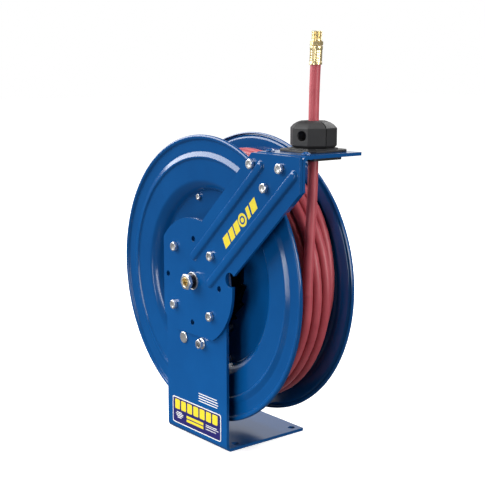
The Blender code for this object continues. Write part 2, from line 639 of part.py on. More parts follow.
# ---------------------------------------------------------------- hose end and stop
def hose_run():
    """The hose from just clear of the wound layers up to the underside of the stop."""
    start, end = 0.340, STOP_BOTTOM_Z - GAP
    lean = 0.0070
    count = 6
    path = bpy.data.curves.new("hose_run", "CURVE")
    path.dimensions = "3D"
    path.bevel_depth = HOSE_R
    path.bevel_resolution = 4
    path.use_fill_caps = True
    line = path.splines.new("POLY")
    line.points.add(count)
    for i in range(count + 1):
        t = i / count
        line.points[i].co = (HOSE_X, HOSE_Y - lean * (1 - t) ** 2, start + (end - start) * t, 1.0)
    hose = bpy.data.objects.new("hose_run", path)
    path.materials.append(paint("hose_run", "red_hose"))
    bpy.context.scene.collection.objects.link(hose)


def stop_half(name, side):
    """One half of the eight-sided hose stop, split through the hose's axis."""
    shoulder = STOP_TOP_Z - 0.0095
    levels = ((STOP_R - 0.0035, STOP_BOTTOM_Z), (STOP_R, STOP_BOTTOM_Z + 0.0035),
              (STOP_R, shoulder), (0.0180, STOP_TOP_Z))
    rings = []
    for radius, z in levels:
        ring = []
        for i in range(8):
            angle = STOP_TURN + math.tau * i / 8
            ring.append((radius * math.cos(angle), radius * math.sin(angle), z))
        rings.append(ring)
    bm = bmesh.new()
    loft(bm, rings)
    half = finish(name, bm, "black_rubber", HOSE)
    reach = 0.05
    keep = [(-reach, GAP / 2), (reach, GAP / 2), (reach, reach), (-reach, reach)]
    bm = bmesh.new()
    extrude_outline(bm, [(x, y * side, 0.45) for x, y in keep], (0, 0, 0.07))
    bmesh.ops.rotate(bm, verts=bm.verts, matrix=Matrix.Rotation(STOP_TURN, 3, "Z"))
    bmesh.ops.translate(bm, verts=bm.verts, vec=HOSE)
    cut(half, cutter(bm, f"{name}_half"), "INTERSECT")
    drill(half, [(HOSE_X, HOSE_Y)], HOSE_R + GAP, 0.45, 0.52, axis="Z", sides=SMALL)
    return half


def across_stop(bm, profile, side):
    """A turned profile laid across the split of the stop; side is -1 or 1 along the split."""
    spin_profile(bm, [(r, -side * h) for r, h in profile], (0, 1, 0), BOLT_SIDES, False)
    middle = (STOP_BOTTOM_Z + STOP_TOP_Z) / 2 - 0.0015
    offset = -0.0140 * side
    bmesh.ops.translate(bm, verts=bm.verts, vec=(offset, 0, 0))
    bmesh.ops.rotate(bm, verts=bm.verts, matrix=Matrix.Rotation(STOP_TURN, 3, "Z"))
    bmesh.ops.translate(bm, verts=bm.verts, vec=HOSE + Vector((0, 0, middle)))


def hose_stop():
    """Split rubber stop clamped round the hose by two screws, one from each half."""
    front = stop_half("stop_front", -1)
    back = stop_half("stop_back", 1)
    head, seat, far = -0.0195, -0.0125, 0.0175
    for i, side in enumerate((-1, 1), 1):
        bm = bmesh.new()
        across_stop(bm, [(0.0, -0.05), (0.0070, -0.05), (0.0070, seat), (0.0032, seat),
                         (0.0032, far + 0.001), (0.0, far + 0.001)], side)
        tool = cutter(bm, f"stop_screw_hole_{i}")
        cut(front, tool)
        cut(back, tool)
        bm = bmesh.new()
        across_stop(bm, [(0.0, head), (0.0055, head), (0.0055, seat - GAP),
                         (0.0028, seat - GAP), (0.0028, far), (0.0, far)], side)
        finish(f"stop_screw_{i}", bm, "spring_steel")


def lean(bm):
    """Tip the hose end over: bowed above the stop, then straight along the fitting."""
    bow = 0.060
    slope = END_LEAN / (END_TIP_Z - STOP_TOP_Z - bow / 2)
    for vert in bm.verts:
        rise = max(0.0, vert.co.z - STOP_TOP_Z)
        vert.co += slope * (rise - bow / 2 if rise > bow else rise ** 2 / (2 * bow))


def hose_end():
    """Hose above the stop, the crimped ferrule and the threaded end fitting."""
    low, ferrule_low, ferrule_top = STOP_BOTTOM_Z + GAP, 0.5760, 0.6010
    tail_top = ferrule_top - 0.002
    levels = [low] + [STOP_TOP_Z + 0.010 * i for i in range(8)] + [tail_top]
    bm = bmesh.new()
    profile = [(HOSE_R, z) for z in levels] + [(0.0048, z) for z in reversed(levels)]
    spin_profile(bm, profile, (0, 0, 1), SMALL)
    lean(bm)
    finish("hose_tail", bm, "red_hose", HOSE)
    bm = bmesh.new()
    spin_profile(bm, [(HOSE_R + GAP, ferrule_low), (0.0089, ferrule_low), (0.0089, ferrule_top),
                      (0.0050, ferrule_top), (0.0050, ferrule_top - 0.0014),
                      (HOSE_R + GAP, ferrule_top - 0.0014)], (0, 0, 1), SMALL)
    lean(bm)
    finish("ferrule", bm, "brass", HOSE)
    bm = bmesh.new()
    bore, stem = 0.0034, 0.0045
    collar_low, collar_top = 0.6014, 0.6078
    rings = [round_ring(bore, 0.5780), round_ring(stem, 0.5780), round_ring(stem, collar_low),
             hex_ring(0.0160, collar_low), hex_ring(0.0160, collar_top),
             round_ring(0.0074, collar_top), round_ring(0.0071, END_TIP_Z),
             round_ring(bore, END_TIP_Z)]
    loft(bm, rings, closed=True)
    bmesh.ops.rotate(bm, verts=bm.verts, matrix=Matrix.Rotation(math.radians(90), 3, "X"))
    lean(bm)
    finish("hose_fitting", bm, "brass", HOSE)


def build():
    clear_scene()
    pedestal()
    guide_arm()
    guide_bracket()
    frame_fasteners()
    hose_guide()
    hub()
    discs()
    drum_core()
    mainspring()
    shaft()
    wound_hose()
    ratchet_wheel()
    latch()
    swivel()
    hose_run()
    hose_stop()
    hose_end()


build()
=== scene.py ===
"""Looks of the spring-rewind hose reel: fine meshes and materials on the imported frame."""
import json
import math

import bmesh
import bpy
from mathutils import Matrix, Vector, noise

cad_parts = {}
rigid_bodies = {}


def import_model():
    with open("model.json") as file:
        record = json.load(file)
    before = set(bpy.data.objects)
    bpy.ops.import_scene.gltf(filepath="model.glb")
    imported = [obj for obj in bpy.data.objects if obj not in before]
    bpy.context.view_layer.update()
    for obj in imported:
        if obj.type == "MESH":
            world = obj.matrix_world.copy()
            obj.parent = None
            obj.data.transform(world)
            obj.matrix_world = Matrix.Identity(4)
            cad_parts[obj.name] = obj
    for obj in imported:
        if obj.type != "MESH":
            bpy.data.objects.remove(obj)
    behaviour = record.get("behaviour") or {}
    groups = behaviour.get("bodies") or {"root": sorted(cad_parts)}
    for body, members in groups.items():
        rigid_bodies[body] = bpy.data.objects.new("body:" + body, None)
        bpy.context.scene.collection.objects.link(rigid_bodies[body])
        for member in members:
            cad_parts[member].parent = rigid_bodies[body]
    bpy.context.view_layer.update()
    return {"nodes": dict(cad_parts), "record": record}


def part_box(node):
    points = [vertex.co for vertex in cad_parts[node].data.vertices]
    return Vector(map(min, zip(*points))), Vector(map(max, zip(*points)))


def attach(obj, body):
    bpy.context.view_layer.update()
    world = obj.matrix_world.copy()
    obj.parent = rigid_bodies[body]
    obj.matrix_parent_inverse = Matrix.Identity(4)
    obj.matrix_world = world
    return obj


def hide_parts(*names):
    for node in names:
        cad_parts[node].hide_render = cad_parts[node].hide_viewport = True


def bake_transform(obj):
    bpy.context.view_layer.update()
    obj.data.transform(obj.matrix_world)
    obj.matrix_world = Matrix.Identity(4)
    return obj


for leftover in list(bpy.data.objects):
    bpy.data.objects.remove(leftover, do_unlink=True)
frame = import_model()
NODES = frame["nodes"]

# ---------------------------------------------------------------- sizes, in metres
GAP = 0.0003                      # clearance between plates, as in the CAD
post_low, post_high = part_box("pedestal")
disc_low, disc_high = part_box("front_disc")
rear_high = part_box("rear_disc")[1]
arm_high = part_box("guide_arm")[1]
shelf_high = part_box("guide_bracket")[1]
stop_low, stop_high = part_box("stop_front")
shell_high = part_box("drum_shell")[1]
fitting_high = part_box("hose_fitting")[1]
sleeve_low, sleeve_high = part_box("ferrule")
swivel_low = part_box("swivel_body")[0]

AXLE_Z = (disc_low.z + disc_high.z) / 2
AXLE = Vector((0.0, 0.0, AXLE_Z))
DISC_R = disc_high.x
MID_Y = (disc_low.y + rear_high.y) / 2   # the two discs mirror each other about it
RIM_Y = disc_low.y
FLANGE_Y = RIM_Y + 0.004
SHEET = 0.0016
FLOOR_Y = disc_high.y - SHEET     # outer face of the front disc's flat middle
REAR_FLOOR_Y = 2 * MID_Y - FLOOR_Y
POST_HALF = post_high.x
POST_FRONT = post_low.y
PLATE = 0.0048
BEND_R = 0.0095                   # outside of the plates' bends
BEND_INNER_R = BEND_R - PLATE
POST_BACK = POST_FRONT + PLATE
POST_TOP_R = 0.0945
ARM_BACK = POST_FRONT - GAP
ARM_FRONT = ARM_BACK - PLATE
ARM_ANGLE = math.radians(43.5)
ARM_HALF = 0.052
HUB_R = 0.0965
HUB_FLAT_Z = -0.084
ARM_TOP_Z = arm_high.z
ARM_RIGHT_X = arm_high.x
BOLT_CIRCLE_R = 0.065
BOLT_AF = 0.0127                  # across the flats of heads and nuts
BOLT_HEAD = 0.0052
BOLT_SHANK_R = 0.0038
NUT_BORE_R = 0.0041
HOLE_R = 0.0044
HOSE_R = 0.0073
HOSE_X = (stop_low.x + stop_high.x) / 2
HOSE_Y = -0.009
HOSE = Vector((HOSE_X, HOSE_Y, 0.0))
GUIDE_TOP_Z = shelf_high.z
TIE_R = 0.127
TIE_TURN = math.radians(107.9)
TIE_AF = 0.0084
TIE_HOLE_R = 0.0031
EDGE = 0.0006                     # rounding of sheared plate edges
SMOOTH = 35                       # degrees; corners sharper than this shade as edges
HEX_SMOOTH = 28                   # the same for hex heads
FINE = 12                         # and for plates and prints
SIDES = 48                        # of small round parts
STOP_TURN = math.radians(-11.25)
STOP_R = 0.0333
STOP_SPLIT = 0.0010               # parting line between the stop's halves
SCREW_Z = 0.48015                 # height of the stop's two screws
SCREW_OFFSET = 0.0140             # and how far each is beside the hose
END_TIP_Z = fitting_high.z
END_LEAN = Vector((0.0020, 0.0024, 0.0))


# ---------------------------------------------------------------- mesh helpers
def keep(name, bm, place=(0.0, 0.0, 0.0), smooth=SMOOTH):
    """Turn a bmesh into a shaded object."""
    bmesh.ops.remove_doubles(bm, verts=bm.verts, dist=1e-7)
    bmesh.ops.recalc_face_normals(bm, faces=bm.faces)
    mesh = bpy.data.meshes.new(name)
    bm.to_mesh(mesh)
    bm.free()
    mesh.shade_smooth()
    mesh.set_sharp_from_angle(angle=math.radians(smooth))
    thing = bpy.data.objects.new(name, mesh)
    thing.location = place
    bpy.context.scene.collection.objects.link(thing)
    return thing


def apply_all(thing, smooth=SMOOTH):
    """Apply a piece's modifiers, and drop the cutters that they used."""
    tools = [m.object for m in thing.modifiers if m.type == "BOOLEAN"]
    bpy.context.view_layer.update()
    graph = bpy.context.evaluated_depsgraph_get()
    mesh = bpy.data.meshes.new_from_object(thing.evaluated_get(graph))
    thing.modifiers.clear()
    thing.data = mesh
    mesh.shade_smooth()
    mesh.set_sharp_from_angle(angle=math.radians(smooth))
    for tool in tools:
        bpy.data.objects.remove(tool, do_unlink=True)
    return thing


def keep_flats(thing):
    """Shading that follows the large faces, so that a plate looks flat beside its rounding."""
    thing.modifiers.new("Flats", "WEIGHTED_NORMAL").keep_sharp = True
    return thing


def cut(thing, tool, operation="DIFFERENCE"):
    """Cut a piece with a tool, or join or trim it."""
    change = thing.modifiers.new(operation.title(), "BOOLEAN")
    change.operation = operation
    change.solver = "EXACT"
    change.object = tool


def round_edges(thing, width=EDGE, segments=3, angle=30, harden=False):
    """Soften the edges that are sharper than an angle."""
    soft = thing.modifiers.new("Edges", "BEVEL")
    soft.width = width
    soft.segments = segments
    soft.limit_method = "ANGLE"
    soft.angle_limit = math.radians(angle)
    soft.use_clamp_overlap = True
    soft.harden_normals = harden


def spin_profile(bm, points, sides, closed=True):
    """Turn a profile of (radius, depth) points about the Y axis."""
    verts = [bm.verts.new((radius, depth, 0.0)) for radius, depth in points]
    edges = [bm.edges.new(pair) for pair in zip(verts, verts[1:])]
    if closed:
        edges.append(bm.edges.new((verts[-1], verts[0])))
    bmesh.ops.spin(bm, geom=verts + edges, cent=(0, 0, 0), axis=(0, 1, 0), dvec=(0, 0, 0),
                   angle=math.tau, steps=sides, use_merge=True, use_duplicate=False)


def turned(name, section, sides):
    """A ring about the axle, from its closed section."""
    bm = bmesh.new()
    spin_profile(bm, section, sides)
    return keep(name, bm, AXLE)


def extrude_outline(bm, outline, move):
    """Add the prism that an outline sweeps."""
    face = bm.faces.new([bm.verts.new(point) for point in outline])
    swept = bmesh.ops.extrude_face_region(bm, geom=[face])
    moved = [item for item in swept["geom"] if isinstance(item, bmesh.types.BMVert)]
    bmesh.ops.translate(bm, verts=moved, vec=move)


def extruded(name, outline, move, smooth=SMOOTH):
    """A prism as a piece."""
    bm = bmesh.new()
    extrude_outline(bm, outline, move)
    return keep(name, bm, smooth=smooth)


def loft(bm, rings, closed=False):
    """Join rings of equally many points, and cap the ends unless the rings close up."""
    loops = [[bm.verts.new(point) for point in ring] for ring in rings]
    pairs = list(zip(loops, loops[1:]))
    if closed:
        pairs.append((loops[-1], loops[0]))
    for low, high in pairs:
        for i in range(len(low)):
            j = (i + 1) % len(low)
            bm.faces.new((low[i], low[j], high[j], high[i]))
    if not closed:
        bm.faces.new(loops[0])
        bm.faces.new(loops[-1])


def lofted(name, rings, closed=False, place=(0.0, 0.0, 0.0), smooth=SMOOTH):
    """A lofted body as a piece."""
    bm = bmesh.new()
    loft(bm, rings, closed)
    return keep(name, bm, place, smooth)


def arc(centre, radius, start, end, steps):
    """Points along part of a circle."""
    points = []
    for i in range(steps + 1):
        angle = start + (end - start) * i / steps
        points.append((centre[0] + radius * math.cos(angle), centre[1] + radius * math.sin(angle)))
    return points


def rounded(points, radius, steps=5):
    """Round the inner corners of an open outline; ends stay as they are."""
    out = [points[0]]
    for before, corner, after in zip(points, points[1:], points[2:]):
        c = Vector(corner)
        a = (Vector(before) - c)
        b = (Vector(after) - c)
        reach = min(radius, a.length * 0.45, b.length * 0.45)
        start = c + a.normalized() * reach
        end = c + b.normalized() * reach
        for i in range(steps + 1):
            t = i / steps
            out.append(tuple(start * (1 - t) ** 2 + c * 2 * t * (1 - t) + end * t ** 2))
    out.append(points[-1])
    return out


def tie_spots():
    """Four spots on the discs, mirrored left to right and top to bottom."""
    x, z = TIE_R * math.cos(TIE_TURN), TIE_R * math.sin(TIE_TURN)
    return [(side * x, AXLE_Z + level * z) for side in (1, -1) for level in (1, -1)]


def drill(thing, spots, radius, low, high, axis="Y"):
    """Round holes at world (x, z) spots along Y, or (x, y) spots along Z."""
    bm = bmesh.new()
    turn = Matrix.Rotation(math.radians(90), 4, "X") if axis == "Y" else Matrix.Identity(4)
    middle = (low + high) / 2
    for a, b in spots:
        centre = (a, middle, b) if axis == "Y" else (a, b, middle)
        bmesh.ops.create_cone(bm, cap_ends=True, segments=40, radius1=radius, radius2=radius,
                              depth=high - low, matrix=Matrix.Translation(centre) @ turn)
    cut(thing, keep(f"{thing.name}_holes", bm))


def bolt_circle(turn):
    """Four (x, z) spots evenly round the axle."""
    spots = []
    for i in range(4):
        angle = turn + math.tau * i / 4
        spots.append((BOLT_CIRCLE_R * math.cos(angle), AXLE_Z + BOLT_CIRCLE_R * math.sin(angle)))
    return spots


def on_arm(along, across):
    """World (x, z) of a point given along and across the slanted arm, from the axle."""
    x = along * math.cos(ARM_ANGLE) - across * math.sin(ARM_ANGLE)
    z = along * math.sin(ARM_ANGLE) + across * math.cos(ARM_ANGLE)
    return (x, AXLE_Z + z)


def tube(name, path, radius, sides):
    """A capped tube along a list of points."""
    rings = []
    normal = None
    for i, point in enumerate(path):
        ahead = path[min(i + 1, len(path) - 1)] - path[max(i - 1, 0)]
        ahead.normalize()
        if normal is None:
            normal = ahead.orthogonal().normalized()
        normal = (normal - ahead * normal.dot(ahead)).normalized()
        side = ahead.cross(normal)
        ring = []
        for k in range(sides):
            angle = math.tau * k / sides
            ring.append(point + (normal * math.cos(angle) + side * math.sin(angle)) * radius)
        rings.append(ring)
    return lofted(name, rings, smooth=50)


def ring_about(radius, depth, place=(0.0, 0.0), sides=SIDES):
    """A circle about the Y axis at a depth, round an (x, z) place."""
    return [(place[0] + radius * math.cos(math.tau * k / sides), depth,
             place[1] + radius * math.sin(math.tau * k / sides)) for k in range(sides)]


def hex_about(across, depth, start, slope, turn, place):
    """A hexagon about the Y axis whose corners fall back as a chamfer, from a start radius."""
    ring = []
    for k in range(SIDES):
        angle = math.tau * k / SIDES
        around = (angle + turn) % (math.pi / 3) - math.pi / 6
        reach = across / 2 / math.cos(around)
        fall = max(0.0, reach - start) * slope
        ring.append((place[0] + reach * math.cos(angle), depth + fall,
                     place[1] + reach * math.sin(angle)))
    return ring


def thread_rings(radius, cut_in, pitch, low, high, place):
    """Rings of a helical ridge on a rod along Y."""
    rings = []
    count = max(2, round((high - low) / pitch * 6))
    for i in range(count + 1):
        height = low + (high - low) * i / count
        fade = min(1.0, i / 6, (count - i) / 6)
        ring = []
        for k in range(SIDES):
            phase = (height / pitch + k / SIDES) % 1.0
            reach = radius - cut_in * fade * abs(2 * phase - 1)
            angle = math.tau * k / SIDES
            ring.append((place[0] + reach * math.cos(angle), height,
                         place[1] + reach * math.sin(angle)))
        rings.append(ring)
    return rings


def bolt_rings(place, seat, head, across, shank, end, turn):
    """A chamfered hex head with a washer face and a threaded end, along +Y."""
    crown = seat - head
    start = across * 0.475
    rings = [ring_about(across * 0.20, crown + 0.0011, place),
             ring_about(across * 0.27, crown + 0.0009, place),
             ring_about(across * 0.32, crown, place), ring_about(start, crown, place),
             hex_about(across, crown, start, 0.62, turn, place),
             hex_about(across, seat - 0.0004, across, 0.0, turn, place),
             ring_about(start, seat - 0.0004, place), ring_about(start, seat, place),
             ring_about(shank, seat, place)]
    rings += thread_rings(shank, 0.00035, 0.0012, end - 0.008, end - 0.0004, place)
    rings.append(ring_about(shank - 0.0006, end, place))
    return rings


def nut_rings(place, front, back, across, bore, turn):
    """A nut chamfered on both faces, with a countersunk bore, along Y."""
    start = across * 0.475
    return [ring_about(bore, front + 0.0004, place), ring_about(bore + 0.0004, front, place),
            ring_about(start, front, place), hex_about(across, front, start, 0.62, turn, place),
            hex_about(across, back, start, -0.62, turn, place), ring_about(start, back, place),
            ring_about(bore + 0.0004, back, place), ring_about(bore, back - 0.0004, place)]


def bolts(name, spots, seat, head, across, shank, end, turns):
    """Hex bolts at several spots, as one piece."""
    bm = bmesh.new()
    for spot, turn in zip(spots, turns):
        loft(bm, bolt_rings(spot, seat, head, across, shank, end, math.radians(turn)))
    return keep(name, bm, smooth=HEX_SMOOTH)


def nuts(name, spots, front, back, across, bore, turns):
    """Nuts at several spots, as one piece."""
    bm = bmesh.new()
    for spot, turn in zip(spots, turns):
        loft(bm, nut_rings(spot, front, back, across, bore, math.radians(turn)), closed=True)
    return keep(name, bm, smooth=HEX_SMOOTH)


def put(thing, body, slot, material, *nodes):
    """Give a piece its material, its body, and the CAD nodes that it stands for."""
    thing.data.materials.clear()
    thing.data.materials.append(material)
    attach(thing, body)
    if nodes:
        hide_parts(*nodes)


# ---------------------------------------------------------------- materials
class Look:
    """A Principled material with a few helpers for its procedural nodes."""

    def __init__(self, name, roughness=0.4, metallic=0.0):
        self.material = bpy.data.materials.new(name)
        self.material.use_nodes = True
        self.nodes = self.material.node_tree.nodes
        self.links = self.material.node_tree.links
        self.shader = self.nodes["Principled BSDF"]
        self.shader.inputs["Roughness"].default_value = roughness
        self.shader.inputs["Metallic"].default_value = metallic
        self.place = self.nodes.new("ShaderNodeTexCoord").outputs["Object"]

    def noise(self, scale, detail=3.0, rough=0.5, stretch=(1, 1, 1)):
        """Cloudy variation; the scale is in cells a metre."""
        mapping = self.nodes.new("ShaderNodeMapping")
        mapping.inputs["Scale"].default_value = stretch
        self.links.new(self.place, mapping.inputs["Vector"])
        texture = self.nodes.new("ShaderNodeTexNoise")
        texture.inputs["Scale"].default_value = scale
        texture.inputs["Detail"].default_value = detail
        texture.inputs["Roughness"].default_value = rough
        self.links.new(mapping.outputs["Vector"], texture.inputs["Vector"])
        return texture.outputs["Fac"]

    def ramp(self, value, stops):
        """Colours at positions along a value."""
        node = self.nodes.new("ShaderNodeValToRGB")
        elements = node.color_ramp.elements
        while len(elements) < len(stops):
            elements.new(0.5)
        for element, (position, colour) in zip(elements, stops):
            element.position = position
            element.color = (*colour, 1.0)
        self.links.new(value, node.inputs["Fac"])
        return node.outputs["Color"]

    def span(self, value, low, high):
        """A 0 to 1 value spread over another range."""
        node = self.nodes.new("ShaderNodeMapRange")
        node.inputs["To Min"].default_value = low
        node.inputs["To Max"].default_value = high
        self.links.new(value, node.inputs["Value"])
        return node.outputs["Result"]

    def colour(self, value):
        """Drive the base colour."""
        self.links.new(value, self.shader.inputs["Base Color"])

    def roughness(self, value):
        """Drive the roughness."""
        self.links.new(value, self.shader.inputs["Roughness"])

    def bump(self, height, distance, strength):
        """Fine relief, its distance in metres."""
        node = self.nodes.new("ShaderNodeBump")
        node.inputs["Distance"].default_value = distance
        node.inputs["Strength"].default_value = strength
        self.links.new(height, node.inputs["Height"])
        self.links.new(node.outputs["Normal"], self.shader.inputs["Normal"])


def blue_paint():
    """Gloss powder coat: slight orange peel, faint drift of shade and gloss."""
    look = Look("blue_powder_coat")
    look.colour(look.ramp(look.noise(9.0, 4.0, 0.6), [(0.35, (0.0018, 0.060, 0.210)),
                                                      (0.65, (0.0024, 0.069, 0.236))]))
    look.roughness(look.span(look.noise(40.0, 4.0, 0.6), 0.12, 0.19))
    look.bump(look.noise(210.0, 1.0, 0.5), 0.00003, 0.25)
    return look.material


def zinc():
    """Bright zinc plate with a cool and warm cast in patches, fine handling marks."""
    look = Look("bright_zinc", metallic=0.9)
    look.colour(look.ramp(look.noise(160.0, 3.0, 0.6), [(0.30, (0.80, 0.81, 0.85)),
                                                        (0.70, (0.94, 0.94, 0.92))]))
    look.roughness(look.span(look.noise(420.0, 4.0, 0.7), 0.20, 0.42))
    look.bump(look.noise(500.0, 2.0, 0.6), 0.00004, 0.35)
    return look.material


def plain_steel(name, dark, light, low, high):
    """Machined steel: fine turning lines, oil-dulled patches."""
    look = Look(name, metallic=1.0)
    look.colour(look.ramp(look.noise(60.0, 4.0, 0.6), [(0.3, dark), (0.7, light)]))
    look.roughness(look.span(look.noise(240.0, 4.0, 0.6), low, high))
    look.bump(look.noise(300.0, 2.0, 0.5, (1, 12, 1)), 0.00005, 0.4)
    return look.material


def brass():
    """Machined brass with a little tarnish and fine tool marks."""
    look = Look("machined_brass", metallic=0.8)
    look.colour(look.ramp(look.noise(90.0, 4.0, 0.6), [(0.30, (0.78, 0.60, 0.28)),
                                                       (0.70, (0.93, 0.78, 0.45))]))
    look.roughness(look.span(look.noise(350.0, 3.0, 0.6), 0.22, 0.38))
    look.bump(look.noise(260.0, 2.0, 0.5, (1, 1, 9)), 0.00004, 0.5)
    return look.material


def red_hose():
    """Extruded red rubber: satin, faint dust and dull patches, a very fine cover grain."""
    look = Look("red_hose_rubber")
    look.colour(look.ramp(look.noise(35.0, 5.0, 0.65), [(0.30, (0.400, 0.056, 0.073)),
                                                        (0.70, (0.500, 0.086, 0.106))]))
    look.roughness(look.span(look.noise(70.0, 4.0, 0.6), 0.38, 0.56))
    look.bump(look.noise(1100.0, 3.0, 0.6), 0.00008, 0.5)
    look.shader.inputs["Sheen Weight"].default_value = 0.12
    look.shader.inputs["Sheen Roughness"].default_value = 0.4
    return look.material


def black_moulding(name, shade, low, high, grain):
    """Moulded black part with a fine grain and slightly worn, greyer high spots."""
    look = Look(name)
    dark = tuple(c * 0.75 for c in shade)
    look.colour(look.ramp(look.noise(55.0, 5.0, 0.7), [(0.30, dark), (0.72, shade)]))
    look.roughness(look.span(look.noise(120.0, 4.0, 0.6), low, high))
    look.bump(look.noise(grain, 3.0, 0.6), 0.00015, 0.5)
    return look.material


def ink(name, colour, roughness):
    """Printed film: almost flat colour with a faint screen unevenness."""
    look = Look(name)
    darker = tuple(c * 0.90 for c in colour)
    look.colour(look.ramp(look.noise(300.0, 3.0, 0.6), [(0.3, darker), (0.7, colour)]))
    look.roughness(look.span(look.noise(150.0, 3.0, 0.5), roughness, roughness + 0.1))
    look.bump(look.noise(700.0, 2.0, 0.5), 0.00003, 0.4)
    return look.material


BLUE = blue_paint()
ZINC = zinc()
STEEL = plain_steel("turned_steel", (0.34, 0.35, 0.37), (0.52, 0.53, 0.55), 0.26, 0.45)
SPRING = plain_steel("blued_spring_steel", (0.07, 0.08, 0.12), (0.16, 0.17, 0.22), 0.28, 0.48)
# painted shade: steel darkened to near black for parts that sit in shadow (the ratchet wheel, the
# swivel's neck)
SHADE_DARK_STEEL = plain_steel("shade_darkened_steel", (0.020, 0.020, 0.028), (0.050, 0.050, 0.066),
                         0.25, 0.42)
BRONZE = plain_steel("oiled_bronze", (0.30, 0.19, 0.09), (0.46, 0.31, 0.16), 0.32, 0.50)
BRASS = brass()
RED = red_hose()
PLASTIC = black_moulding("black_nylon", (0.022, 0.022, 0.024), 0.35, 0.50, 500.0)
RUBBER = black_moulding("black_rubber", (0.017, 0.017, 0.018), 0.48, 0.66, 380.0)
YELLOW = ink("yellow_ink", (0.74, 0.60, 0.035), 0.35)
NAVY = ink("navy_film", (0.018, 0.016, 0.120), 0.30)
WHITE = ink("white_film", (0.80, 0.80, 0.78), 0.35)

SLOT_LOOKS = {"blue_paint": BLUE, "zinc": ZINC, "steel": STEEL, "spring_steel": SPRING,
              "bronze": BRONZE, "brass": BRASS, "red_hose": RED, "black_plastic": PLASTIC,
              "black_rubber": RUBBER}


# ---------------------------------------------------------------- discs and drum
def sheet_section():
    """Closed (radius, depth) section of the front disc, from its pressed outer face."""
    outer = [(0.0266, FLOOR_Y), (0.1335, FLOOR_Y), (0.1352, FLOOR_Y - 0.0014),
             (0.1392, FLANGE_Y + 0.0085), (0.1450, FLANGE_Y + 0.0035), (0.1503, FLANGE_Y),
             (0.1828, FLANGE_Y), (0.1848, FLANGE_Y - 0.0022), (0.1868, FLANGE_Y - 0.0026),
             (0.1948, FLANGE_Y + 0.0002), (0.1980, FLANGE_Y), (0.2115, FLANGE_Y),
             (0.2135, FLANGE_Y - 0.0030), (0.2165, RIM_Y), (0.2194, RIM_Y + 0.0008),
             (DISC_R, RIM_Y + 0.0035)]
    outer = rounded(outer, 0.0035, 5)
    inner = []
    for i, point in enumerate(outer[:-3]):
        ahead = Vector(outer[i + 1]) - Vector(outer[max(i - 1, 0)])
        ahead.normalize()
        inner.append((point[0] - ahead.y * SHEET, point[1] + ahead.x * SHEET))
    lip = [(DISC_R - 0.0004, RIM_Y + 0.0052), (DISC_R - 0.0018, RIM_Y + 0.0060)]
    return outer + lip + inner[::-1]


def discs():
    """The two pressed discs; the rear one mirrors the front one, with a smaller hole."""
    section = sheet_section()
    front = turned("front_disc_pressed", section, sides=200)
    drill(front, tie_spots(), TIE_HOLE_R, FLOOR_Y - 0.004, FLOOR_Y + 0.006)
    put(apply_all(front), "drum", "blue_paint", BLUE, "front_disc")
    mirrored = [(r, 2 * MID_Y - y) for r, y in section]
    shaft_hole = 0.0123
    mirrored[0] = (shaft_hole, mirrored[0][1])
    mirrored[-1] = (shaft_hole, mirrored[-1][1])
    rear = turned("rear_disc_pressed", mirrored, sides=200)
    drill(rear, tie_spots(), TIE_HOLE_R, REAR_FLOOR_Y - 0.006, REAR_FLOOR_Y + 0.004)
    put(apply_all(rear), "drum", "blue_paint", BLUE, "rear_disc")


# ---------------------------------------------------------------- pedestal, arm, bracket
BOLTED = bolt_circle(math.radians(43.5))
SPARE = bolt_circle(math.radians(-1.5))
BRACKET_SPOTS = [(0.139, 0.441), (0.2004, 0.439), (0.1684, 0.410)]
GUIDE_BOLT_SPOTS = [(0.153, -0.060), (0.226, -0.060)]
PAWL_SPOT = (0.016, AXLE_Z - 0.0955)
PIN_SPOT = (-0.030, AXLE_Z - 0.095)


def pedestal():
    """One plate bent into foot and post, with softened edges and round holes."""
    top = AXLE_Z + POST_TOP_R
    bend = (POST_FRONT + BEND_R, BEND_R)
    section = [(-POST_FRONT, 0.0)]
    section += arc(bend, BEND_R, math.radians(270), math.radians(180), 20)
    section += [(POST_FRONT, top), (POST_BACK, top)]
    section += arc(bend, BEND_INNER_R, math.radians(180), math.radians(270), 20)
    section += [(-POST_FRONT, PLATE)]
    body = extruded("pedestal_plate", [(-POST_HALF, y, z) for y, z in section],
                    (2 * POST_HALF, 0, 0))
    shoulder = math.acos(POST_HALF / POST_TOP_R)
    spare = 0.01
    outline = [(POST_HALF + spare, -spare), (POST_HALF + spare, AXLE_Z)]
    outline += arc((0, AXLE_Z), POST_TOP_R, shoulder, math.pi - shoulder, 48)
    outline += [(-POST_HALF - spare, AXLE_Z), (-POST_HALF - spare, -spare)]
    trim = extruded("post_outline", [(x, -0.09, z) for x, z in outline], (0, 0.18, 0))
    cut(body, trim, "INTERSECT")
    low, high = POST_FRONT - 0.005, POST_BACK + 0.005
    axle_hole, anchor_hole = 0.0195, 0.0055
    drill(body, BOLTED + SPARE + [PAWL_SPOT, PIN_SPOT], HOLE_R, low, high)
    drill(body, [(0.0, AXLE_Z)], axle_hole, low, high)
    foot_holes = [(x, y) for x in (-0.063, 0.063) for y in (-0.050, 0.064)]
    drill(body, foot_holes, anchor_hole, -0.005, 0.015, axis="Z")
    round_edges(body)
    put(keep_flats(apply_all(body)), "frame", "blue_paint", BLUE, "pedestal")


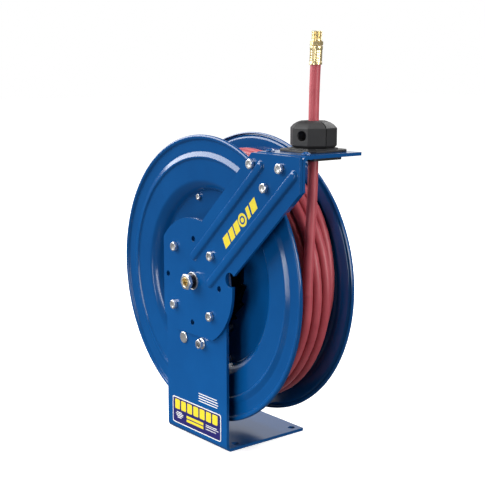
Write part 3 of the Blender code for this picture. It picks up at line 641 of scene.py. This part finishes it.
def arm_outline():
    """The slanted arm's (x, z) outline, with its round about the axle, flat at the foot."""
    reach = math.sqrt(HUB_R ** 2 - ARM_HALF ** 2)
    spread = math.atan2(ARM_HALF, reach)
    left = math.acos(-POST_HALF / HUB_R)
    low = math.asin(HUB_FLAT_Z / HUB_R)
    top_along = (ARM_TOP_Z - AXLE_Z - ARM_HALF * math.cos(ARM_ANGLE)) / math.sin(ARM_ANGLE)
    right_along = (ARM_RIGHT_X - ARM_HALF * math.sin(ARM_ANGLE)) / math.cos(ARM_ANGLE)
    centre = (0.0, AXLE_Z)
    outline = arc(centre, HUB_R, ARM_ANGLE + spread, left, 24)
    outline += arc(centre, HUB_R, math.tau - left, math.pi - low, 6)
    outline += arc(centre, HUB_R, low, ARM_ANGLE - spread, 32)
    outline += [on_arm(right_along, -ARM_HALF), (ARM_RIGHT_X, ARM_TOP_Z)]
    outline += [on_arm(top_along, ARM_HALF)]
    return outline


def rib(name, start, end, across):
    """A pressed rib: a long round-ended ridge with steep sides and a rounded top."""
    half = 0.0080
    levels = [(1.06, -0.0008), (1.00, 0.0), (0.90, 0.0005), (0.74, 0.0022), (0.66, 0.0028),
              (0.54, 0.0032), (0.36, 0.0034), (0.15, 0.0035)]
    rings = []
    for share, rise in levels:
        ring = []
        for along, turn in ((end, -90), (start, 90)):
            for i in range(17):
                angle = math.radians(turn + 180 * i / 16)
                x, z = on_arm(along + half * share * math.cos(angle),
                              across + half * share * math.sin(angle))
                ring.append((x, ARM_FRONT - rise, z))
        rings.append(ring)
    return lofted(name, rings)


def guide_arm():
    """Slanted plate with two pressed ribs; its lower corner hole opens into a notch."""
    arm = extruded("guide_arm_plate", [(x, ARM_FRONT, z) for x, z in arm_outline()],
                   (0, PLATE, 0))
    low, high = ARM_FRONT - 0.006, ARM_BACK + 0.004
    drill(arm, BOLTED + SPARE + BRACKET_SPOTS, HOLE_R, low, high)
    axle_hole, corner_hole = 0.0127, 0.0108
    drill(arm, [(0.0, AXLE_Z)], axle_hole, low, high)
    drill(arm, [(0.091, AXLE_Z + 0.016)], corner_hole, low, high)
    round_edges(arm)
    apply_all(arm, FINE)
    cut(arm, rib("upper_rib", 0.030, 0.243, 0.026), "UNION")
    cut(arm, rib("lower_rib", 0.034, 0.287, -0.027), "UNION")
    put(keep_flats(apply_all(arm, 24)), "frame", "blue_paint", BLUE, "guide_arm")


def guide_bracket():
    """Bent bracket behind the arm's end: a leg along the arm and a shelf for the guide."""
    left = arm_outline()[-1][0]
    blank_left, leg_bottom = 0.115, 0.380
    bend = (POST_FRONT + BEND_R, GUIDE_TOP_Z - BEND_R)
    section = [(shelf_high.y, GUIDE_TOP_Z)]
    section += arc(bend, BEND_R, math.radians(90), math.radians(180), 20)
    section += [(POST_FRONT, leg_bottom), (POST_BACK, leg_bottom)]
    section += arc(bend, BEND_INNER_R, math.radians(180), math.radians(90), 20)
    section += [(shelf_high.y, GUIDE_TOP_Z - PLATE)]
    bracket = extruded("guide_bracket_plate", [(blank_left, y, z) for y, z in section],
                       (ARM_RIGHT_X - blank_left, 0, 0))
    inset = ARM_HALF - 0.0012
    leg_start, below, above, past = 0.206, 0.44, 0.47, ARM_RIGHT_X + 0.01
    right = (ARM_RIGHT_X - inset * math.sin(ARM_ANGLE)) / math.cos(ARM_ANGLE)
    outline = [on_arm(leg_start, inset), on_arm(leg_start, -inset), on_arm(right, -inset),
               (past, on_arm(right, -inset)[1]), (past, above), (left, above), (left, 0.4575)]
    trim = extruded("bracket_leg_outline", [(x, -0.09, z) for x, z in outline], (0, 0.02, 0))
    shelf = [(left, below), (past, below), (past, above), (left, above)]
    cut(trim, extruded("bracket_shelf_outline", [(x, -0.0705, z) for x, z in shelf],
                       (0, 0.11, 0)), "UNION")
    cut(bracket, apply_all(trim), "INTERSECT")
    hose_hole, guide_bolt_hole = 0.0150, 0.0036
    drill(bracket, BRACKET_SPOTS, HOLE_R, POST_FRONT - 0.004, POST_BACK + 0.004)
    drill(bracket, [(HOSE_X, HOSE_Y)], hose_hole, below, above, axis="Z")
    drill(bracket, GUIDE_BOLT_SPOTS, guide_bolt_hole, below, above, axis="Z")
    round_edges(bracket)
    put(keep_flats(apply_all(bracket)), "frame", "blue_paint", BLUE, "guide_bracket")


# ---------------------------------------------------------------- fasteners and swivel
def put_zinc(thing, body, stem, count):
    """Zinc fasteners that stand for the CAD's numbered ones."""
    put(thing, body, "zinc", ZINC, *[f"{stem}_{i + 1}" for i in range(count)])


def fasteners():
    """Bolts and nuts, each turned by a different angle, in degrees, as they come to rest."""
    seat, arm_end, bracket_end = ARM_FRONT - GAP, -0.0600, -0.0662
    put_zinc(bolts("arm_bolt_set", BOLTED, seat, BOLT_HEAD, BOLT_AF, BOLT_SHANK_R, arm_end,
                   (11, 38, 24, 52)), "frame", "arm_bolt", 4)
    put_zinc(nuts("arm_nut_set", BOLTED, -0.0661, -0.0606, BOLT_AF, NUT_BORE_R,
                  (5, 20, 47, 33)), "frame", "arm_nut", 4)
    put_zinc(bolts("bracket_bolt_set", BRACKET_SPOTS, seat, BOLT_HEAD, BOLT_AF, BOLT_SHANK_R,
                   bracket_end, (30, 8, 44)), "frame", "bracket_bolt", 3)
    put_zinc(nuts("bracket_nut_set", BRACKET_SPOTS, POST_BACK + GAP, POST_BACK + 0.0058,
                  BOLT_AF, NUT_BORE_R, (16, 41, 3)), "frame", "bracket_nut", 3)
    rear = REAR_FLOOR_Y
    tie_head, tie_shank, tie_bore = 0.0036, 0.0026, 0.0029
    put_zinc(bolts("tie_bolt_set", tie_spots(), FLOOR_Y - GAP, tie_head, TIE_AF, tie_shank,
                   rear + 0.0060, (9, 27, 50, 36)), "drum", "tie_bolt", 4)
    put_zinc(nuts("tie_nut_set", tie_spots(), rear + GAP, rear + 0.0043, TIE_AF, tie_bore,
                  (2, 31, 14, 55)), "drum", "tie_nut", 4)
    put(nuts("axle_nut", [(0.0, AXLE_Z)], rear + 0.0026, rear + 0.0110, 0.036, 0.0124, (20,)),
        "drum", "zinc", ZINC, "shaft_nut")


def pawl_nut():
    """Flange nut on the pawl's bolt, in front of the post."""
    face, flange, bore = POST_FRONT - GAP, 0.0018, 0.0043
    rings = nut_rings(PAWL_SPOT, face - 0.0080, face - flange, 0.0130, bore, math.radians(24))
    rings[5:6] = [ring_about(0.0086, face - flange, PAWL_SPOT),
                  ring_about(0.0086, face, PAWL_SPOT)]
    rings[7:] = [ring_about(bore + 0.0004, face, PAWL_SPOT),
                 ring_about(bore, face - 0.0004, PAWL_SPOT)]
    put(lofted("pawl_flange_nut", rings, closed=True, smooth=HEX_SMOOTH), "frame", "zinc",
        ZINC, "latch_nut")


def swivel():
    """Zinc hex with a turned neck painted dark for the shade it sits in, a brass port with an
    internal thread, a thin ring.
    """
    face, shoulder, neck = swivel_low.y, -0.0912, -0.0846
    across, neck_r = 0.0222, 0.0104
    place = (0.0, AXLE_Z)
    rings = [ring_about(0.0075, face + 0.0004, place), ring_about(0.0079, face, place),
             ring_about(0.0102, face, place), hex_about(across, face, 0.0102, 0.5, 0.0, place),
             hex_about(across, shoulder, neck_r, -0.4, 0.0, place),
             ring_about(neck_r, shoulder, place), ring_about(0.0096, shoulder, place),
             ring_about(0.0075, shoulder, place)]
    put(lofted("swivel_hex", rings, closed=True, smooth=HEX_SMOOTH), "swivel", "zinc", ZINC,
        "swivel_body")
    profile = [(0.0076, shoulder + 0.0001), (neck_r, shoulder + 0.0001), (neck_r, -0.0896),
               (0.0098, -0.0892), (0.0098, -0.0880), (neck_r, -0.0876), (neck_r, neck),
               (0.0088, neck), (0.0088, -0.0680), (0.0070, -0.0680), (0.0070, -0.0650),
               (0.0088, -0.0650), (0.0088, -0.0600), (0.0045, -0.0600), (0.0045, -0.0830),
               (0.0076, -0.0830)]
    # the neck's near-black steel is painted shade
    put(turned("swivel_neck", profile, sides=64), "swivel", "steel", SHADE_DARK_STEEL)
    tip, port_r, port_end = face - 0.0004, 0.0071, -0.0833
    rings = [ring_about(0.0058, tip, place), ring_about(0.0068, tip, place),
             ring_about(port_r, tip + 0.0003, place), ring_about(port_r, port_end, place),
             ring_about(0.0045, port_end, place), ring_about(0.0045, -0.0840, place)]
    bore = thread_rings(0.0055, -0.0005, 0.0014, tip + 0.0006, -0.0845, place)
    rings += bore[::-1]
    put(lofted("swivel_port", rings, closed=True, smooth=40), "swivel", "brass", BRASS,
        "swivel_insert")
    inner, outer, front, back = 0.0123, 0.0136, -0.0843, -0.0829
    collar = rounded([(inner, back), (inner, front), (outer, front), (outer, back)], 0.0004, 4)
    put(turned("retaining_ring", collar, sides=96), "drum", "zinc", ZINC, "shaft_collar")


# ---------------------------------------------------------------- printed marks
FILM = 0.00008                    # thickness of a printed patch
LIFT = 0.00012                    # and its stand-off from the paint, or from the patch below


def panel(name, outline, depth, material):
    """A thin printed patch from its (x, z) outline and the depth of its front."""
    thing = extruded(name, [(x, depth, z) for x, z in outline], (0, FILM, 0), FINE)
    put(thing, "frame", "blue_paint", material)


def box_outline(x_low, z_low, x_high, z_high, radius=0.0):
    """An upright rectangle, with rounded corners if a radius is given."""
    corners = [(x_low, z_low), (x_high, z_low), (x_high, z_high), (x_low, z_high)]
    if not radius:
        return corners
    points = []
    for (x, z), (sx, sz), start in zip(corners, ((1, 1), (-1, 1), (-1, -1), (1, -1)),
                                       (180, 270, 0, 90)):
        points += arc((x + sx * radius, z + sz * radius), radius, math.radians(start),
                      math.radians(start + 90), 6)
    return points


def post_label():
    """Label low on the post: white frame, navy field, yellow blocks and bars; no lettering."""
    face = POST_FRONT - LIFT
    front = face - LIFT
    x0, z0, x1, z1 = -0.0635, 0.0125, 0.0624, 0.0558
    panel("label_frame", box_outline(x0, z0, x1, z1, 0.004), face, WHITE)
    border = 0.0016
    panel("label_field", box_outline(x0 + border, z0 + border, x1 - border, z1 - border, 0.003),
          face - LIFT / 2, NAVY)
    count, pitch = 7, 0.0163
    for i in range(count):
        left = x0 + 0.0068 + pitch * i
        panel(f"label_block_{i + 1}", box_outline(left, 0.0360, left + 0.0128, 0.0518, 0.0018),
              front, YELLOW)
    for i, z in enumerate((0.0292, 0.0232)):
        panel(f"label_bar_{i + 1}", box_outline(-0.026, z - 0.0024, 0.018, z + 0.0018, 0.0006),
              front, YELLOW)
    for i, (z, end) in enumerate(((0.0300, 0.052), (0.0272, 0.056), (0.0232, 0.050))):
        panel(f"label_line_{i + 1}", box_outline(0.0240, z - 0.0005, end, z + 0.0005),
              front, WHITE)
    for i, (z, start) in enumerate(((0.0310, -0.052), (0.0282, -0.055), (0.0254, -0.053),
                                    (0.0226, -0.050))):
        panel(f"label_seal_{i + 1}", box_outline(start, z - 0.0007, -start - 0.090, z + 0.0007),
              front, WHITE)
    for i, end in enumerate((0.0520, 0.0540, 0.0555, 0.0530)):
        z = 0.0760 - 0.0040 * i
        panel(f"notice_line_{i + 1}", box_outline(0.0060, z - 0.0007, end, z + 0.0007), face, WHITE)


def arm_mark():
    """A row of slanted yellow blocks with a ring, between the arm's ribs."""
    face = ARM_FRONT - LIFT
    back = face + FILM
    low, high, slant = -0.0125, 0.0035, 0.0045
    pieces = ((0.101, 0.116), (0.119, 0.131), (0.134, 0.147), (0.172, 0.180), (0.184, 0.199))
    for i, (start, end) in enumerate(pieces, 1):
        outline = [on_arm(start, low), on_arm(end, low), on_arm(end + slant, high),
                   on_arm(start + slant, high)]
        panel(f"mark_block_{i}", outline, face, YELLOW)
    centre = on_arm(0.1605, (low + high) / 2)
    outer, inner, dot = 0.0098, 0.0062, 0.0036
    ring = [ring_about(outer, face, centre), ring_about(outer, back, centre),
            ring_about(inner, back, centre), ring_about(inner, face, centre)]
    put(lofted("mark_ring", ring, closed=True), "frame", "blue_paint", YELLOW)
    disc = [ring_about(dot, face, centre, 32), ring_about(dot, back, centre, 32)]
    put(lofted("mark_dot", disc), "frame", "blue_paint", YELLOW)


# ---------------------------------------------------------------- hose
RUN_BOTTOM_Y = -0.016             # depth at which the hose leaves the drum
TOP_TURN_R = 0.1847               # radius of the last turn, where the run leaves it
BACK_TURN_R = 0.1888              # and of the first turns of that layer, at the rear disc
STRAND = 0.0160                   # spacing of the turns


def layer_path(radius, y_start, y_end, turns, phase):
    """(angle, radius, depth) along the turns of one layer, and the angle where it ends."""
    points = []
    unevenness = 0.0007
    steps = int(turns * 60)
    for i in range(steps):
        t = i / steps
        angle = phase + math.tau * turns * t
        spot = Vector((math.cos(angle) * 1.7, math.sin(angle) * 1.7, t * 9))
        wander = unevenness * noise.noise(spot)
        points.append((angle, radius, y_start + (y_end - y_start) * t + wander))
    return points, phase + math.tau * turns


def wound_hose():
    """Three layers of turns; the outermost one ends where the hose leaves the drum."""
    near = FLANGE_Y + SHEET + HOSE_R + 0.0008
    far = 2 * MID_Y - near
    first = shell_high.x + HOSE_R
    second = (first + TOP_TURN_R) / 2
    top_turns = (far - RUN_BOTTOM_Y) / STRAND
    low_turns = 5.25
    hop_turns = 0.2                   # part of a turn in which the hose climbs a layer
    phase = -math.tau * (top_turns + 2 * low_turns + 2 * hop_turns)
    polar, phase = layer_path(first, far, near, low_turns, phase)
    hop, phase = layer_path(first, near, near, hop_turns, phase)
    polar += [(a, first + (second - first) * i / len(hop), y) for i, (a, r, y) in enumerate(hop)]
    more, phase = layer_path(second, near, far, low_turns, phase)
    polar += more
    hop, phase = layer_path(second, far, far, hop_turns, phase)
    polar += [(a, second + (BACK_TURN_R - second) * i / len(hop), y)
              for i, (a, r, y) in enumerate(hop)]
    last, phase = layer_path(BACK_TURN_R, far, RUN_BOTTOM_Y, top_turns, phase)
    polar += [(a, BACK_TURN_R + (TOP_TURN_R - BACK_TURN_R) * (i / len(last)) ** 2, y)
              for i, (a, r, y) in enumerate(last)]
    polar.append((0.0, TOP_TURN_R, RUN_BOTTOM_Y))
    path = [Vector((r * math.cos(a), y, AXLE_Z + r * math.sin(a))) for a, r, y in polar]
    put(tube("wound_hose_turns", path, HOSE_R, 16), "drum", "red_hose", RED, "wound_hose")


def hose_run():
    """From the drum up through the guide."""
    start, end = AXLE_Z, stop_low.z + 0.004
    straight_from = GUIDE_TOP_Z - 0.02
    count = 60
    path = []
    for i in range(count + 1):
        z = start + (end - start) * i / count
        t = min(1.0, (z - start) / (straight_from - start))
        ease = t * t * (3 - 2 * t)
        x = TOP_TURN_R + (HOSE_X - TOP_TURN_R) * ease
        path.append(Vector((x, RUN_BOTTOM_Y + (HOSE_Y - RUN_BOTTOM_Y) * ease, z)))
    run = tube("hose_run_tube", path, HOSE_R, 32)
    run.data.materials.append(RED)
    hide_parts("hose_run")
    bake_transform(run)


def lean(point):
    """Where the hose end's bow and lean carry a point of the straight end."""
    bow = 0.060                       # height over which the hose bends into its lean
    rise = max(0.0, point[2] - stop_high.z)
    reach = rise - bow / 2 if rise > bow else rise ** 2 / (2 * bow)
    return Vector(point) + END_LEAN * reach / (END_TIP_Z - stop_high.z - bow / 2)


def upright(rings):
    """Turn rings about Y into leaning rings about the hose's own axis."""
    return [[lean((HOSE_X + x, HOSE_Y + z, y)) for x, y, z in ring] for ring in rings]


def hose_tail():
    """The hose inside the stop and up to the fitting, with its lean."""
    low, top = stop_low.z + 0.001, sleeve_high.z - 0.002
    path = [lean((HOSE_X, HOSE_Y, low + (top - low) * i / 40)) for i in range(41)]
    put(tube("hose_tail_tube", path, HOSE_R, 32), "hose_end", "red_hose", RED, "hose_tail")


def ferrule():
    """Brass sleeve pressed on the hose in eight flats between two round lips."""
    low, top, outer = sleeve_low.z, sleeve_high.z, 0.0089
    steps = 30
    rings = []
    for i in range(steps + 1):
        t = i / steps
        press = min(1.0, max(0.0, min(t - 0.10, 0.88 - t) * 12))
        ring = []
        for k in range(64):
            angle = math.tau * k / 64
            flat = abs((8 * k / 64) % 1.0 - 0.5) * 2
            dent = press * (0.00045 * (1 - flat) + 0.00035)
            ripple = 0.00012 * press * math.sin(t * 44)
            reach = outer - dent - ripple
            ring.append((reach * math.cos(angle), low + (top - low) * t, reach * math.sin(angle)))
        rings.append(ring)
    neck, inside, floor = 0.0050, HOSE_R + 0.0002, top - 0.0014
    rings += [ring_about(radius, depth, sides=64) for radius, depth in
              ((0.0078, top), (neck, top), (neck, floor), (inside, floor), (inside, low))]
    put(lofted("ferrule_crimped", upright(rings), closed=True, smooth=50), "hose_end", "brass",
        BRASS, "ferrule")


def fitting():
    """Hex collar and male thread, bored through."""
    bore, stem, across, collar = 0.0034, 0.0045, 0.0160, 0.0076
    foot, low, top = 0.5780, 0.6014, 0.6078
    place = (0.0, 0.0)
    rings = [ring_about(bore, foot), ring_about(stem, foot), ring_about(stem, low),
             ring_about(collar, low), hex_about(across, low, collar, 0.6, 0.3, place),
             hex_about(across, top, collar, -0.6, 0.3, place), ring_about(collar, top),
             ring_about(0.0068, top + 0.0002), ring_about(0.0068, top + 0.0012)]
    rings += thread_rings(0.0073, 0.0007, 0.0014, top + 0.0014, END_TIP_Z - 0.0006, place)
    rings += [ring_about(0.0066, END_TIP_Z), ring_about(bore + 0.0005, END_TIP_Z),
              ring_about(bore, END_TIP_Z - 0.0005)]
    put(lofted("fitting_threaded", upright(rings), closed=True), "hose_end", "brass", BRASS,
        "hose_fitting")


def across_stop(name, profile, side):
    """A turned body across the stop's split, in one of the two screws' places."""
    bm = bmesh.new()
    spin_profile(bm, [(radius, -side * depth) for radius, depth in profile], 32, closed=False)
    bmesh.ops.translate(bm, verts=bm.verts, vec=(-SCREW_OFFSET * side, 0, 0))
    bmesh.ops.rotate(bm, verts=bm.verts, matrix=Matrix.Rotation(STOP_TURN, 3, "Z"))
    bmesh.ops.translate(bm, verts=bm.verts, vec=HOSE + Vector((0, 0, SCREW_Z)))
    return keep(name, bm)


def stop_half(name, node, half):
    """One moulded half of the eight-sided rubber stop, with its two bores; half is -1 or 1."""
    levels = ((STOP_R - 0.0035, stop_low.z), (STOP_R, stop_low.z + 0.0035),
              (STOP_R, stop_high.z - 0.0095), (0.0290, stop_high.z - 0.0050),
              (0.0240, stop_high.z - 0.0020), (0.0180, stop_high.z))
    corners = [STOP_TURN + math.tau * i / 8 for i in range(8)]
    rings = [[(radius * math.cos(angle), radius * math.sin(angle), z) for angle in corners]
             for radius, z in levels]
    body = lofted(name, rings, place=HOSE)
    below, above = 0.45, 0.52
    reach, split = 0.05, half * STOP_SPLIT / 2
    bm = bmesh.new()
    extrude_outline(bm, [(-reach, split, below), (reach, split, below),
                         (reach, half * reach, below), (-reach, half * reach, below)],
                    (0, 0, above - below))
    bmesh.ops.rotate(bm, verts=bm.verts, matrix=Matrix.Rotation(STOP_TURN, 3, "Z"))
    bmesh.ops.translate(bm, verts=bm.verts, vec=HOSE)
    cut(body, keep(f"{name}_side", bm), "INTERSECT")
    drill(body, [(HOSE_X, HOSE_Y)], HOSE_R + GAP, below, above, axis="Z")
    bore = [(0.0, -0.05), (0.0070, -0.05), (0.0070, -0.0125), (0.0032, -0.0125),
            (0.0032, 0.0185), (0.0, 0.0185)]
    for side in (-1, 1):
        cut(body, across_stop(f"{name}_bore_{side}", bore, side))
    round_edges(body, 0.0016, 3, 24)
    put(keep_flats(apply_all(body)), "hose_end", "black_rubber", RUBBER, node)


def hose_stop():
    """The stop's two halves and the two cap screws that clamp them, one from each side."""
    stop_half("stop_half_front", "stop_front", -1)
    stop_half("stop_half_rear", "stop_back", 1)
    screw = [(0.0, -0.0170), (0.0024, -0.0170), (0.0026, -0.0195), (0.0050, -0.0195),
             (0.0055, -0.0190), (0.0055, -0.0128), (0.0028, -0.0128), (0.0028, 0.0172),
             (0.0024, 0.0175), (0.0, 0.0175)]
    for i, side in enumerate((-1, 1), 1):
        put(across_stop(f"stop_cap_screw_{i}", screw, side), "hose_end", "spring_steel", SPRING,
            f"stop_screw_{i}")


# ---------------------------------------------------------------- carried-over CAD pieces
def dress_nodes():
    """Procedural materials and softened edges on every CAD node that still shows."""
    slots = {part["node"]: part["material_slot"] for part in frame["record"]["subparts"]}
    for name, node in NODES.items():
        node.data.materials.clear()
        # the ratchet wheel gets steel painted near black, for the shade of the recess it sits in
        look = SHADE_DARK_STEEL if name == "ratchet_wheel" else SLOT_LOOKS[slots[name]]
        node.data.materials.append(look)
        if node.hide_render:
            continue
        weld = node.modifiers.new("Weld", "WELD")
        weld.merge_threshold = 0.000002
        width = 0.0008 if name.startswith("guide_plate") else 0.0003
        round_edges(node, width, 2, harden=True)


# ---------------------------------------------------------------- stage, lights and camera
ROOM = 0.10                       # brightness of the room that reflections see
FLOOR_GLOW = 0.55                 # brightness of the floor near the reel
FLOOR_Z = -0.0005


def stage():
    """White floor and surround; reflections see only the soft boxes and a dim room."""
    bm = bmesh.new()
    bmesh.ops.create_grid(bm, x_segments=1, y_segments=1, size=14.0)
    floor = keep("studio_floor", bm, (0.0, 0.0, FLOOR_Z))
    look = Look("studio_floor", roughness=0.9)
    look.colour(look.ramp(look.noise(2.0), [(0.3, (0.86, 0.86, 0.86)), (0.7, (0.88, 0.88, 0.88))]))
    look.shader.inputs["Specular IOR Level"].default_value = 0.0
    look.shader.inputs["Emission Color"].default_value = (1.0, 1.0, 1.0, 1.0)
    away = look.nodes.new("ShaderNodeVectorMath")
    away.operation = "LENGTH"
    look.links.new(look.place, away.inputs[0])
    near, far = 0.3, 1.1
    glow = look.span(away.outputs["Value"], FLOOR_GLOW, 1.0)
    glow.node.inputs["From Min"].default_value = near
    glow.node.inputs["From Max"].default_value = far
    look.links.new(glow, look.shader.inputs["Emission Strength"])
    floor.data.materials.append(look.material)
    floor.visible_glossy = False
    floor.visible_diffuse = False
    world = bpy.data.worlds.new("studio")
    world.use_nodes = True
    nodes, links = world.node_tree.nodes, world.node_tree.links
    background = nodes["Background"]
    background.inputs["Color"].default_value = (1.0, 1.0, 1.0, 1.0)
    seen = nodes.new("ShaderNodeLightPath").outputs["Is Camera Ray"]
    level = nodes.new("ShaderNodeMapRange")
    level.inputs["To Min"].default_value = ROOM
    level.inputs["To Max"].default_value = 1.0
    links.new(seen, level.inputs["Value"])
    links.new(level.outputs["Result"], background.inputs["Strength"])
    bpy.context.scene.world = world
    bpy.context.scene.view_settings.view_transform = "Standard"


def area_light(name, place, target, size, power):
    """A soft box aimed at a point; the camera doesn't see the box itself."""
    data = bpy.data.lights.new(name, "AREA")
    data.shape = "RECTANGLE"
    data.size, data.size_y = size
    data.energy = power
    light = bpy.data.objects.new(name, data)
    light.location = place
    light.rotation_mode = "QUATERNION"
    light.rotation_quaternion = (Vector(target) - Vector(place)).to_track_quat("-Z", "Y")
    light.visible_camera = False
    bpy.context.scene.collection.objects.link(light)
    return light


def lights():
    """Soft boxes round the reel, two strips for the discs' highlights, a fill for the post."""
    middle = (0.05, 0.0, 0.28)
    area_light("key", (-1.90, -1.50, 1.75), middle, (2.8, 2.2), 145)
    area_light("overhead", (0.6, 0.1, 2.3), middle, (1.6, 1.4), 20)
    area_light("right_side", (2.6, 0.4, 1.0), middle, (0.9, 1.5), 49)
    area_light("bead_strip", (-0.035, -0.92, 0.19), (0.185, -0.06, 0.28), (0.05, 0.24), 0.5)
    area_light("wall_strip", (0.56, -1.38, 0.47), (-0.14, -0.05, 0.22), (0.24, 0.80), 5.0)
    fill = area_light("post_fill", (0.03, -0.42, 0.05), (0.0, -0.08, 0.11), (0.20, 0.10), 0.8)
    fill.visible_glossy = False
    area_light("rear_card", (-1.9, 1.6, 0.75), middle, (1.6, 1.0), 4.6)
    area_light("rear", (-0.6, 2.4, 1.8), middle, (1.6, 1.2), 45)


def camera():
    """A long lens a little above the reel, to the right of its front."""
    azimuth, elevation = math.radians(51.33), math.radians(10.19)
    data = bpy.data.cameras.new("camera")
    data.sensor_width = 36.0
    data.lens = 77.04
    data.shift_x = 0.0105
    data.shift_y = 0.0140
    lens = bpy.data.objects.new("camera", data)
    lens.location = (1.2453, -0.9925, 0.5786)
    ahead = Vector((-math.sin(azimuth) * math.cos(elevation),
                    math.cos(azimuth) * math.cos(elevation), -math.sin(elevation)))
    lens.rotation_mode = "QUATERNION"
    lens.rotation_quaternion = ahead.to_track_quat("-Z", "Y")
    bpy.context.scene.collection.objects.link(lens)
    bpy.context.scene.camera = lens


camera()
stage()
lights()
discs()
pedestal()
guide_arm()
guide_bracket()
fasteners()
pawl_nut()
swivel()
post_label()
arm_mark()
wound_hose()
hose_run()
hose_tail()
ferrule()
fitting()
hose_stop()
dress_nodes()
